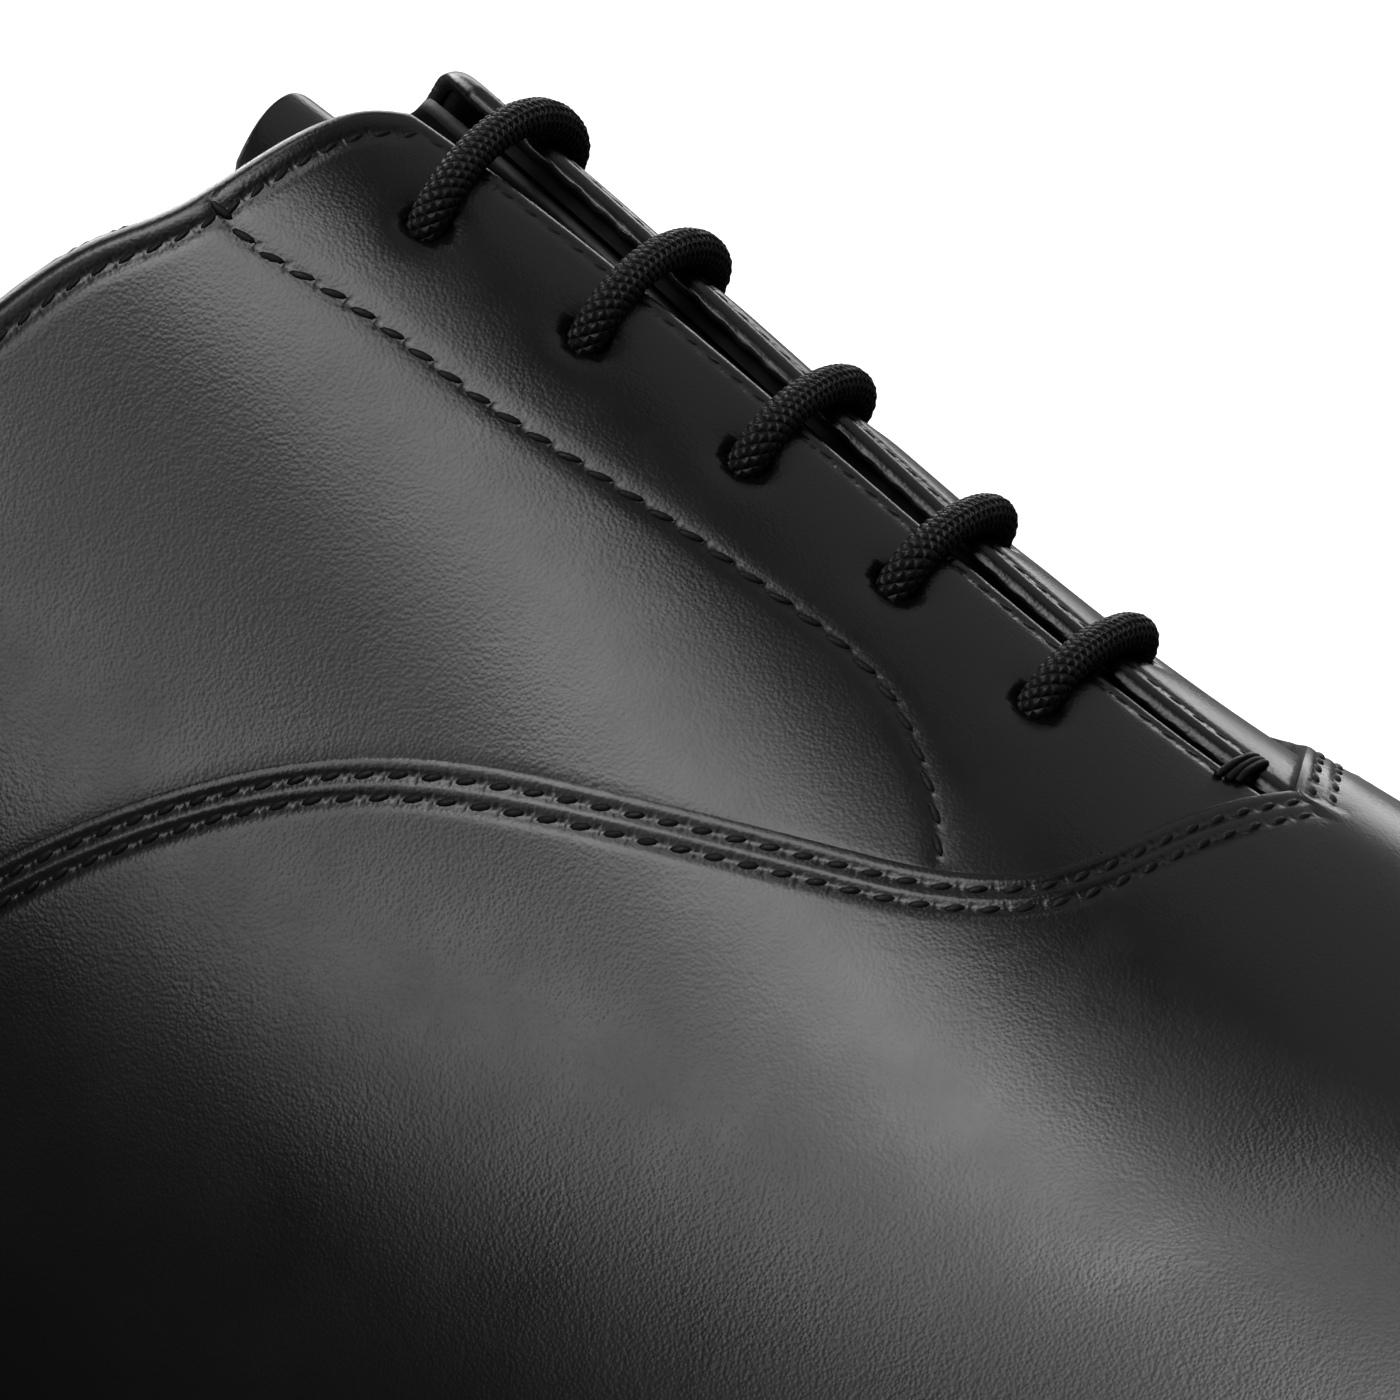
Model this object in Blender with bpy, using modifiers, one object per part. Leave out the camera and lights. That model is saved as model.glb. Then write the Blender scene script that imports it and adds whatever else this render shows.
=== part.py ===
"""Leather oxford shoe, right foot, size 42: closed lacing, straight toe cap, welted sole.

The upper and its lining are skins wrapped round one last surface. A place on the last is given by
its station x (millimetres from the heel), its share v of the section there (0 at the feather edge,
1 at the ridge on top) and its side (-1 lateral, +1 medial). Lengths are in millimetres until a
mesh is made, and every mesh is in metres with +X to the toe, +Z up and the ground at Z = 0.
"""
import math

import bmesh
import bpy
import numpy as np
from mathutils import Matrix, Vector

MM = 0.001
HALF_TURN = math.sqrt(.5)                 # sine and cosine of 45 degrees
LATERAL, MEDIAL = -1, 1
SHIFT = Vector((-152.13, -0.08, 0.95))    # from the heel-based layout to the middle of the sole

# the last: side view, plan and section
LAST_BACK, LAST_TOE = 8.0, 298.0
HEEL_ROUND, TOE_ROUND, TOE_DROP = 40.0, 70.0, 30.0
BACK_REACH = 110.0
CENTRE_LINE = ((8, 0), (120, 0), (200, 1.5), (298, 8))
HALF_WIDTH = {
    LATERAL: ((8, 31), (60, 31), (110, 32.5), (150, 39), (195, 47.5), (225, 47.5), (260, 41.5), (298, 36)),
    MEDIAL: ((8, 31), (60, 28), (120, 24.5), (160, 31), (205, 42), (235, 43), (262, 39), (298, 34)),
}
FEATHER_HEIGHT = ((8, 33.5), (60, 32), (100, 25.5), (140, 17), (175, 12.7), (205, 11.5), (240, 12.5),
                  (270, 15.2), (298, 20))
RIDGE_HEIGHT = ((8, 131), (50, 131), (80, 128.5), (100, 124), (118, 115.5), (150, 94), (186, 70.2),
                (200, 63.8), (220, 57.5), (245, 51.8), (270, 48.5), (298, 47))
SIDE_SWELL = ((8, 3.5), (60, 4), (110, 5), (150, 4.5), (205, 4), (260, 3), (298, 2.5))
SHOULDER = ((8, .90), (60, .88), (110, .80), (150, .74), (186, .78), (215, .84), (260, .92), (298, .95))
CROWN = ((8, .85), (60, .80), (110, .50), (150, .36), (186, .40), (215, .50), (260, .62), (298, .65))
BACK_CURVE = ((0, 0), (20, -4), (58, 1.5), (98, 9))

# pattern lines drawn on the last, as (station, share of the section)
TOPLINE = ((8, .556), (20, .533), (40, .486), (60, .471), (75, .494), (88, .553), (97, .621), (104.4, .699),
           (109.9, .757), (115.7, .818), (118.6, .872), (121.7, .930), (124, .956))
VAMP_SEAM = ((80, 0), (85, .14), (93, .27), (102, .375), (111, .449), (124.6, .539), (136.7, .607),
             (151.4, .669), (168.2, .739), (177.3, .790), (181.8, .848), (185.5, .945), (187.5, 1),
             (192, 1.15), (200, 1.5))
LINING_SEAM = ((148, 0), (160, .35), (175, .62), (186, .85), (191, 1))
TONGUE_EDGE = ((115.6, .88), (117, .81), (120, .765), (126, .745), (160, .80), (185, .88), (192, .90))
TONGUE_TOP, TONGUE_BASE = 115.6, 192.0
FACING_TOP, THROAT = 124.0, 187.5
GAP_TOP, GAP_THROAT = .044, .006         # half the gap between the facings, as shares
CAP_SEAM = 236.0
CAP_UNDERLAY, CAP_SLOPE = 8.0, 8.0       # the vamp runs on under the cap, and the cap comes down past it
QUARTER_START, QUARTER_END = .004, 191.0 # a line beside the back seam, and a station
QUARTER_LASTED = 83.0                    # behind it the quarters are lasted, in front the vamp is
VAMP_START, VAMP_UNDER_CAP = 84.0, .03
LAP_BACK, LAP_MORE, LAP_REACH = .03, .07, 21.0    # share of quarter under the vamp, growing over a reach
LAP_BESIDE, LAP_RAMP, FEATHER_RAMP = .15, .07, .04
STRIP_LINE, STRIP_FOOT, STRIP_SHORT = .075, .02, .01
EYELET_STATIONS = (128.6, 139.9, 151.3, 162.2, 172.8)
EYELET_SHARES = (.884, .896, .908, .916, .918)
EYELET_RADIUS = 2.0

# skins: distance of the inner face from the last, and thickness
LINING, LINING_THICK = 0.0, 0.9
STIFFENER, STIFFENER_THICK = 1.3, 0.9
OUTER, OUTER_THICK = 2.6, 1.2
RAISE = 2.0                              # how far an overlapping edge is lifted
TONGUE, TONGUE_THICK, TONGUE_LIFT = -5.4, 1.2, 3.2
TONGUE_LINING, TONGUE_LINING_THICK = -7.0, 0.9
STRIP_THICK = 1.0

# where the inner layers begin and end, as stations and shares
VAMP_LINING_START, QUARTER_LINING_END, LINING_LASTED, GRIP_END = 149.6, 189.5, 149.0, 39.3
LINING_JOINT, LINING_SHORT = .016, .008
PUFF_START, COUNTER_END = 250.0, 76.0
COUNTER_TOP = ((8, .36), (30, .36), (50, .31), (76, .26))
STAY_SPAN, STAY_LOW, STAY_HIGH = (126.0, 180.0), .13, .015
PUNCH_REACH = (-0.6, 5.4)
TONGUE_RISE, TONGUE_RISE_END = 175.0, 188.0
TONGUE_LINING_SPAN = (116.9, 191.2)

# bottom stack, as heights from the feather plane
SOCK = (1.2, 0.3)
INSOLE = (-0.2, -3.0)
RIB = (-3.3, -6.6)
CORK = (-3.3, -7.1)
SHANK = (-4.6, -5.8)
WELT = (-4.4, -7.1)
OUTSOLE = (-7.4, -12.4)
MARGIN_DROP, MARGIN_CORNER, MARGIN_WIDTH = 3.2, 0.8, 9.0
SOCK_INSET, INSOLE_INSET, FILLER_INSET = -1.2, -0.5, -13.6
RIB_INNER, RIB_OUTER, RIB_START, CORK_START = -13.0, -11.2, 16.0, 17.0
SHANK_SPAN, SHANK_HALF, SHANK_FIT = (48.0, 160.0), 6.5, (0.6, 0.5, 0.4)   # play lengthwise, sidewise, above
WELT_INNER, WELT_INSET, WELT_START = 4.3, 0.2, 87.0
RAND_INNER, RAND_OUTSET, RAND_END = 4.2, 0.4, 86.0
JOINT_GAP = 0.3
HEEL_BREAST = 78.0
HEEL_LEVELS = ((14.9, None), (10.6, 14.6), (6.3, 10.3), (0.0, 6.0))   # the first lift fits the sole
HEEL_SPREAD = (4.8, 4.2, 3.6, 3.0)
SOLE_SPREAD = ((8, 5.0), (60, 5.2), (110, 5.6), (160, 7.2), (205, 8.2), (298, 8.0))
NAIL_PLACES = ((24, 0), (38, -13), (38, 13), (60, -14), (60, 12))
NAIL_RADIUS, NAIL_HOLE, NAIL_FOOT, NAIL_DEPTH, NAIL_CLEAR = 1.0, 1.35, 8.5, 0.4, 1.2

# lace and its tails
LACE_RADIUS = 1.35
OVER, UNDER = 5.5, -2.25                 # height of the lace above the facings and under the lining
LANE = .042                              # an inner run passes beside an eyelet at this share
CORD_GAP = 0.35
TAIL_PITCH = 6.5
TAIL_EXIT = ((131.0, .860), (124.0, .815), (119.5, .760), (117.0, .700))   # under the facing, past the tongue
TAIL_WALL = ((115.5, .62, -2.0), (114.0, .50, -2.4), (112.5, .37, -3.0), (110.0, .24, -4.0),
             (106.0, .12, -6.0))
TAIL_FLOOR = {
    LATERAL: ((98, -22), (85, -19), (70, -19), (55, -21), (40, -22), (29, -18.5), (24, -11.5),
              (29, -5), (41, -4.5), (56, -8), (70, -7), (84, -4.5), (97, -5)),
    MEDIAL: ((98, 17), (85, 16), (70, 18), (56, 20), (43, 19), (35, 12.5), (41, 6),
             (54, 5), (68, 6.5), (82, 6.5), (95, 4.5), (107, 4.5)),
}
AGLET_LENGTH, AGLET_RADIUS = 20.0, 1.3
TACK_STATION, TACK_SHARES, TACK_HEIGHT, TACK_RADIUS = 184.0, (.972, .986, 1.0), 4.7, .55

GRID_LINES, GRID_ROWS = 28, 14
LINING_ROWS = 7
EXTRA_LINES = (82.9, 84.0, 117.5, 119.6, 121.7, 124.0, 127.0, 148.9, 183.5, 187.5, 191.0,
               CAP_SEAM - .5, CAP_SEAM, CAP_SEAM + CAP_UNDERLAY)


def curve_through(points):
    """Natural cubic spline through a few (x, y) points, as a function of x."""
    x, y = np.array(points, float).T
    h = np.diff(x)
    n = len(x)
    a = np.eye(n)
    b = np.zeros(n)
    for i in range(1, n - 1):
        a[i, i - 1:i + 2] = h[i - 1], 2 * (h[i - 1] + h[i]), h[i]
        b[i] = 6 * ((y[i + 1] - y[i]) / h[i] - (y[i] - y[i - 1]) / h[i - 1])
    m = np.linalg.solve(a, b)

    def at(value):
        value = min(max(value, x[0]), x[-1])
        i = min(int(np.searchsorted(x, value, side="right")) - 1, n - 2)
        p, q = value - x[i], x[i + 1] - value
        bend = (m[i] * q ** 3 + m[i + 1] * p ** 3) / (6 * h[i])
        return float(bend + (y[i] / h[i] - m[i] * h[i] / 6) * q + (y[i + 1] / h[i] - m[i + 1] * h[i] / 6) * p)
    return at


centre_line = curve_through(CENTRE_LINE)
half_width = {side: curve_through(points) for side, points in HALF_WIDTH.items()}
feather_height = curve_through(FEATHER_HEIGHT)
ridge_height = curve_through(RIDGE_HEIGHT)
side_swell = curve_through(SIDE_SWELL)
shoulder = curve_through(SHOULDER)
crown = curve_through(CROWN)
back_curve = curve_through(BACK_CURVE)
topline = curve_through(TOPLINE)
vamp_seam = curve_through(VAMP_SEAM)
lining_seam = curve_through(LINING_SEAM)
tongue_edge = curve_through(TONGUE_EDGE)
sole_spread = curve_through(SOLE_SPREAD)


def clip(value, low=0.0, high=1.0):
    return min(max(value, low), high)


def smooth(value):
    """0 below 0, 1 above 1, with a soft change between."""
    value = clip(value)
    return value * value * (3 - 2 * value)


def rounding(distance, reach):
    """Share of the full width at a distance from the rounded end of the last."""
    return math.sqrt(max(1 - clip(1 - distance / reach) ** 3, 0))


def station(t):
    """Station of the line t, 0 at the heel and 1 at the toe, closer together at both ends."""
    return LAST_BACK + (LAST_TOE - LAST_BACK) * (1 - math.cos(math.pi * t)) / 2


def line_of(x):
    return math.acos(1 - 2 * (clip(x, LAST_BACK, LAST_TOE) - LAST_BACK) / (LAST_TOE - LAST_BACK)) / math.pi


def last_point(x, v, side):
    """The point of the last at station x and share v of the section."""
    ends = rounding(x - LAST_BACK, HEEL_ROUND) * rounding(LAST_TOE - x, TOE_ROUND)
    width, swell = half_width[side](x), side_swell(x)
    low = feather_height(x)
    high = (ridge_height(x) - low) * rounding(LAST_TOE - x, TOE_DROP)
    full = width + swell
    across = (width, width + .9 * swell, width + 1.7 * swell, full * shoulder(x), full * crown(x), 0)
    up = (0, .10, .32, .70, 1, 1)
    y = z = 0.0
    for i in range(6):
        weight = math.comb(5, i) * (1 - v) ** (5 - i) * v ** i
        y += weight * across[i]
        z += weight * up[i] * high
    pull = clip(1 - (x - LAST_BACK) / BACK_REACH) ** 3
    return Vector((x + pull * back_curve(z), centre_line(x) + side * ends * y, low + z))


def last_normal(x, v, side):
    step = 1e-3
    t = line_of(x)
    if t > 1 - 2 * step:
        return Vector((1, 0, 0))
    if v > 1 - step:
        side = LATERAL
    middle, v = clip(t, step, 1 - step), clip(v, step, 1 - step)
    along = last_point(station(middle + step), v, side) - last_point(station(middle - step), v, side)
    up = last_point(station(middle), v + step, side) - last_point(station(middle), v - step, side)
    out = along.cross(up) * -side
    if t < step:
        out.y = 0
    return out.normalized()


def on_last(x, v, side, off):
    """A point at the distance off outside the last."""
    return last_point(x, v, side) + last_normal(x, v, side) * off


def feather_point(t, side, spread, drop=0.0):
    """The sole's plan outline at line t, spread outwards from the feather edge and moved by drop."""
    step = 1e-3
    point = last_point(station(t), 0, side)
    ahead = last_point(station(min(t + step, 1)), 0, side)
    behind = last_point(station(max(t - step, 0)), 0, side)
    run = ahead - behind
    if t < step:
        run = Vector((0, side, 0))
    if t > 1 - step:
        run = Vector((0, -side, 0))
    out = Vector((run.y, -run.x, 0)).normalized() * -side
    place = point + out * spread
    place.z = feather_height(place.x) + drop
    return place


def new_material(name, colour, roughness, metallic=0.0):
    material = bpy.data.materials.new(name)
    material.use_nodes = True
    shader = material.node_tree.nodes["Principled BSDF"]
    shader.inputs["Base Color"].default_value = (*colour, 1)
    shader.inputs["Roughness"].default_value = roughness
    shader.inputs["Metallic"].default_value = metallic
    return material


def new_object(name, bm, material, smooth_shading=True):
    """Make a mesh object in metres, in the shoe's collection, from a bmesh in millimetres."""
    bm.transform(Matrix.Scale(MM, 4) @ Matrix.Translation(SHIFT))
    mesh = bpy.data.meshes.new(name)
    bm.to_mesh(mesh)
    bm.free()
    if smooth_shading:
        mesh.shade_smooth()
    obj = bpy.data.objects.new(name, mesh)
    obj.data.materials.append(material)
    bpy.data.collections["oxford_shoe"].objects.link(obj)
    return obj


def grid_lines(start, end):
    """The lines t that every skin shares between two stations, with the ends themselves."""
    lines = [i / GRID_LINES for i in range(GRID_LINES + 1)]
    extra = [line_of(x) for x in EXTRA_LINES]
    lines = [t for t in lines if min(abs(t - e) for e in extra) > .3 / GRID_LINES] + extra
    first, last = line_of(start), line_of(end)
    inner = [t for t in sorted(lines) if first + 1e-4 < t < last - 1e-4]
    return [first, *inner, last]


def mapped_grid(bm, columns, rows, place, flip=False, wanted=None):
    """Add a grid whose vertex (column, row) lies at place(column, row), without the unwanted cells."""
    made = bmesh.ops.create_grid(bm, x_segments=columns - 1, y_segments=rows - 1, size=1)
    faces = {face for vert in made["verts"] for face in vert.link_faces}

    def cell(co):
        return (co.x + 1) / 2 * (columns - 1), (co.y + 1) / 2 * (rows - 1)
    if wanted:
        holes = [f for f in faces if not wanted(*(int(n) for n in cell(f.calc_center_median())))]
        faces.difference_update(holes)
        bmesh.ops.delete(bm, geom=holes, context="FACES")
    for vert in (v for v in made["verts"] if v.is_valid):
        vert.co = place(*(round(n) for n in cell(vert.co)))
    if flip:
        bmesh.ops.reverse_faces(bm, faces=list(faces))


def close_up(bm):
    """Merge the rows that meet at a pole, a ridge or a boundary."""
    bmesh.ops.remove_doubles(bm, verts=bm.verts[:], dist=0.02)
    bmesh.ops.dissolve_degenerate(bm, edges=bm.edges[:], dist=0.01)


def skin(name, material, span, low, high, inner, thick, sides=(LATERAL, MEDIAL), raised=None, margin=None,
         rows=GRID_ROWS):
    """A skin on the last from low(x) to high(x), lasted under the insole where margin(x) is true."""
    lines = grid_lines(*span)
    margin_rows = 4 if margin else 0
    bm = bmesh.new()
    for side in sides:
        def place(column, row):
            t = lines[column]
            x = station(t)
            if row >= margin_rows:
                v = clip((row - margin_rows) / rows, low(x), high(x))
                off = inner + (raised(x, v) if raised else 0)
                return on_last(x, v, side, off)
            if not margin(x):
                return on_last(x, low(x), side, inner + (raised(x, low(x)) if raised else 0))
            radius = inner + MARGIN_CORNER
            spread, drop = (
                (-MARGIN_WIDTH, -MARGIN_DROP - inner),
                (-MARGIN_CORNER, -MARGIN_DROP - inner),
                (-MARGIN_CORNER + radius * HALF_TURN, -MARGIN_DROP + MARGIN_CORNER - radius * HALF_TURN),
                (inner, -MARGIN_DROP + MARGIN_CORNER),
            )[row]
            return feather_point(t, side, spread, drop)

        def wanted(column, row):
            return row >= margin_rows or all(margin(station(t)) for t in lines[column:column + 2])
        mapped_grid(bm, len(lines), margin_rows + rows + 1, place, side == MEDIAL, wanted)
    close_up(bm)
    obj = new_object(name, bm, material)
    wall = obj.modifiers.new("thickness", "SOLIDIFY")
    wall.thickness = thick * MM
    wall.offset = 1
    return obj


def plate(name, material, lines, top, bottom, spread, narrow=None):
    """A flat piece of the bottom: the plan outline filled across, between two heights."""
    bm = bmesh.new()
    columns, rows = len(lines), 3

    def place(column, row):
        t = lines[column]
        reach = spread(station(t))
        left, right = feather_point(t, LATERAL, reach), feather_point(t, MEDIAL, reach)
        if narrow:
            left, right = narrow(left, LATERAL), narrow(right, MEDIAL)
        point = left.lerp(right, row / (rows - 1))
        point.z = top(point.x)
        return point
    mapped_grid(bm, columns, rows, place)
    close_up(bm)
    lid = bm.faces[:]
    made = bmesh.ops.extrude_face_region(bm, geom=lid, use_keep_orig=True)
    for vert in (g for g in made["geom"] if isinstance(g, bmesh.types.BMVert)):
        vert.co.z = bottom(vert.co.x)
    bmesh.ops.recalc_face_normals(bm, faces=bm.faces[:])
    return new_object(name, bm, material, smooth_shading=False)


def strip(name, material, route, inside, outside, top, bottom):
    """A strip that follows the plan outline along route, a list of (line, side)."""
    bm = bmesh.new()

    def place(column, row):
        t, side = route[column]
        spread = outside(station(t)) if row else inside
        return feather_point(t, side, spread, top)
    mapped_grid(bm, len(route), 2, place)
    close_up(bm)
    made = bmesh.ops.extrude_face_region(bm, geom=bm.faces[:], use_keep_orig=True)
    for vert in (g for g in made["geom"] if isinstance(g, bmesh.types.BMVert)):
        vert.co.z += bottom - top
    bmesh.ops.recalc_face_normals(bm, faces=bm.faces[:])
    return new_object(name, bm, material, smooth_shading=False)


def around_toe(start):
    """Route from the lateral side at a station, round the toe, to the same station on the medial side."""
    lines = grid_lines(start, LAST_TOE)
    return [(t, LATERAL) for t in lines] + [(t, MEDIAL) for t in reversed(lines)]


def around_heel(start):
    lines = grid_lines(LAST_BACK, start)
    return [(t, MEDIAL) for t in reversed(lines)] + [(t, LATERAL) for t in lines]


def tube(name, material, points, radius, sides=2):
    """A round cord or wire through points in millimetres, as a capped poly curve."""
    curve = bpy.data.curves.new(name, "CURVE")
    curve.dimensions = "3D"
    curve.bevel_depth = radius * MM
    curve.bevel_resolution = sides
    curve.use_fill_caps = True
    spline = curve.splines.new("POLY")
    spline.points.add(len(points) - 1)
    for slot, point in zip(spline.points, points):
        slot.co = (*((point + SHIFT) * MM), 1)
    obj = bpy.data.objects.new(name, curve)
    curve.materials.append(material)
    bpy.data.collections["oxford_shoe"].objects.link(obj)
    return obj


def cylinder(name, start, end, radius, segments, collection, material=None):
    """A straight pin between two points in millimetres."""
    axis = (end - start) * MM
    middle = ((start + end) / 2 + SHIFT) * MM
    bpy.ops.mesh.primitive_cylinder_add(vertices=segments, radius=radius * MM, depth=axis.length)
    obj = bpy.context.object
    obj.name = name
    obj.rotation_mode = "QUATERNION"
    obj.rotation_quaternion = axis.to_track_quat("Z", "Y")
    obj.location = middle
    for holder in obj.users_collection:
        holder.objects.unlink(obj)
    bpy.data.collections[collection].objects.link(obj)
    if material:
        obj.data.materials.append(material)
        obj.data.shade_smooth()
    return obj


def cut_with(obj, cutters):
    for cutter in cutters:
        cutter.hide_render = True
        cutter.display_type = "WIRE"
        cut = obj.modifiers.new("cut " + cutter.name, "BOOLEAN")
        cut.operation = "DIFFERENCE"
        cut.object = cutter


def smooth_route(points, pitch):
    """Evenly spaced points along a smooth curve through hand-chosen ones."""
    points = [Vector(p) for p in points]
    reach = [0.0]
    for a, b in zip(points, points[1:]):
        reach.append(reach[-1] + (b - a).length)
    axes = [curve_through([(s, p[i]) for s, p in zip(reach, points)]) for i in range(3)]
    count = max(round(reach[-1] / pitch), 2)
    return [Vector(axis(reach[-1] * i / count) for axis in axes) for i in range(count + 1)]


# ---------------------------------------------------------------- pattern lines

def nothing(_x):
    return 0.0


def ridge(_x):
    return 1.0


def facing_edge(x):
    """Edge of the quarter beside the gap, wide at the top and closed at the throat."""
    share = clip((x - FACING_TOP) / (THROAT - FACING_TOP))
    return 1 - (GAP_THROAT + (GAP_TOP - GAP_THROAT) * (1 - share) ** 2)


def quarter_top(x):
    return topline(x) if x < FACING_TOP else facing_edge(x)


def lap(x):
    """How far the quarter runs on under the vamp, as a share."""
    return LAP_BACK + LAP_MORE * clip((x - VAMP_START) / LAP_REACH)


def quarter_low(x):
    if quarter_lasted(x):
        return 0.0
    return clip(vamp_seam(x) - lap(x), 0.02, .985)


def quarter_lasted(x):
    return x < QUARTER_LASTED


def vamp_top(x):
    return clip(vamp_seam(x))


def vamp_low(x):
    """The vamp is lasted under the insole as far as the cap, and stops above the feather inside it."""
    return 0.0 if vamp_lasted(x) else VAMP_UNDER_CAP


def vamp_lasted(x):
    return x < CAP_SEAM


def vamp_raised(x, v):
    over_quarter = smooth((v - (vamp_seam(x) - lap(x) - LAP_BESIDE)) / LAP_RAMP)
    return RAISE * over_quarter * smooth(v / FEATHER_RAMP)


def cap_raised(x, _v):
    return RAISE * (1 - smooth((x - (CAP_SEAM + CAP_UNDERLAY + 1)) / CAP_SLOPE))


def always(_x):
    return True


# ---------------------------------------------------------------- upper

def make_outer(black_calf):
    skin("toe_cap", black_calf, (CAP_SEAM, LAST_TOE), nothing, ridge, OUTER, OUTER_THICK,
         raised=cap_raised, margin=always)
    skin("vamp", black_calf, (VAMP_START, CAP_SEAM + CAP_UNDERLAY), vamp_low, vamp_top, OUTER, OUTER_THICK,
         raised=vamp_raised, margin=vamp_lasted)
    back_seam = station(QUARTER_START)
    quarters = {}
    for side, word in ((LATERAL, "lateral"), (MEDIAL, "medial")):
        quarters[side] = skin("quarter_" + word, black_calf, (back_seam, QUARTER_END), quarter_low,
                              quarter_top, OUTER, OUTER_THICK, sides=(side,), margin=quarter_lasted)
    skin("back_strip", black_calf, (LAST_BACK, station(STRIP_LINE)), lambda x: STRIP_FOOT,
         lambda x: topline(x) - STRIP_SHORT, OUTER + RAISE, STRIP_THICK)
    return quarters


def make_linings(lining_leather, black_lining, suede):
    skin("vamp_lining", lining_leather, (VAMP_LINING_START, LAST_TOE), nothing,
         lambda x: clip(lining_seam(x)), LINING, LINING_THICK, margin=always, rows=LINING_ROWS)
    linings = {}
    for side, word in ((LATERAL, "lateral"), (MEDIAL, "medial")):
        linings[side] = skin(
            "quarter_lining_" + word, black_lining, (GRIP_END + .7, QUARTER_LINING_END),
            lambda x: clip(lining_seam(x) + LINING_JOINT) if x > LINING_SEAM[0][0] else 0.0,
            lambda x: quarter_top(x) - LINING_SHORT,
            LINING, LINING_THICK, sides=(side,), margin=lambda x: x < LINING_LASTED, rows=LINING_ROWS)
    skin("heel_grip", suede, (LAST_BACK, GRIP_END), nothing, lambda x: topline(x) - LINING_SHORT,
         LINING, LINING_THICK, margin=always, rows=LINING_ROWS)
    return linings


def make_stiffeners(fibre, tape):
    skin("toe_puff", fibre, (PUFF_START, LAST_TOE), nothing, ridge, STIFFENER, STIFFENER_THICK,
         rows=LINING_ROWS)
    skin("heel_counter", fibre, (LAST_BACK, COUNTER_END), nothing, curve_through(COUNTER_TOP),
         STIFFENER, STIFFENER_THICK, rows=LINING_ROWS)
    stays = {}
    for side, word in ((LATERAL, "lateral"), (MEDIAL, "medial")):
        stays[side] = skin("facing_stay_" + word, tape, STAY_SPAN, lambda x: facing_edge(x) - STAY_LOW,
                           lambda x: facing_edge(x) - STAY_HIGH, STIFFENER, STIFFENER_THICK, sides=(side,))
    return stays


def punch_eyelets(side, word, layers):
    """One hole for each eyelet, square to the facing and through all its layers."""
    cutters = []
    for i, (x, v) in enumerate(zip(EYELET_STATIONS, EYELET_SHARES)):
        inner, outer = (on_last(x, v, side, off) for off in PUNCH_REACH)
        cutters.append(cylinder(f"eyelet_punch_{word}_{i + 1}", inner, outer, EYELET_RADIUS, 8, "cutters"))
    for layer in layers:
        cut_with(layer, cutters)


def make_tongue(black_calf, black_lining):
    def lifted(x, _v):
        return TONGUE_LIFT * smooth((x - TONGUE_RISE) / (TONGUE_RISE_END - TONGUE_RISE))
    skin("tongue", black_calf, (TONGUE_TOP, TONGUE_BASE), tongue_edge, ridge, TONGUE, TONGUE_THICK,
         raised=lifted, rows=LINING_ROWS)
    skin("tongue_lining", black_lining, TONGUE_LINING_SPAN, lambda x: clip(tongue_edge(x) + STRIP_SHORT),
         ridge, TONGUE_LINING, TONGUE_LINING_THICK, raised=lifted, rows=LINING_ROWS)


# ---------------------------------------------------------------- bottom

def level(drop):
    return lambda x: feather_height(x) + drop


def even(spread):
    return lambda x: spread


def make_bottom(insole_leather, cork, steel, sole_leather, welt_leather, sock_leather):
    whole = grid_lines(LAST_BACK, LAST_TOE)
    plate("sock_liner", sock_leather, whole, level(SOCK[0]), level(SOCK[1]), even(SOCK_INSET))
    insole = plate("insole", insole_leather, whole, level(INSOLE[0]), level(INSOLE[1]), even(INSOLE_INSET))
    strip("insole_rib", insole_leather, around_toe(RIB_START), RIB_INNER, even(RIB_OUTER), RIB[0], RIB[1])
    cork_lines = grid_lines(CORK_START, LAST_TOE)
    filler = plate("cork_filler", cork, cork_lines, level(CORK[0]), level(CORK[1]), even(FILLER_INSET))
    outsole = plate("outsole", sole_leather, whole, level(OUTSOLE[0]), level(OUTSOLE[1]), sole_spread)

    def shank_side(extra):
        def narrow(point, side):
            return Vector((point.x, side * (SHANK_HALF + extra), 0))
        return narrow
    start, end = SHANK_SPAN
    ahead, beside, above = SHANK_FIT
    plate("shank", steel, grid_lines(start, end), level(SHANK[0]), level(SHANK[1]), even(FILLER_INSET),
          shank_side(0))
    slot = plate("shank_slot", steel, grid_lines(start - ahead, end + ahead), level(SHANK[0] + above),
                 level(CORK[1] - 1), even(FILLER_INSET), shank_side(beside))
    bpy.data.collections["oxford_shoe"].objects.unlink(slot)
    bpy.data.collections["cutters"].objects.link(slot)
    cut_with(filler, [slot])
    strip("welt", welt_leather, around_toe(WELT_START), WELT_INNER, lambda x: sole_spread(x) - WELT_INSET,
          WELT[0], WELT[1])
    strip("heel_rand", welt_leather, around_heel(RAND_END), RAND_INNER,
          lambda x: sole_spread(x) + RAND_OUTSET, WELT[0], WELT[1])
    return [insole, filler, outsole]


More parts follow.
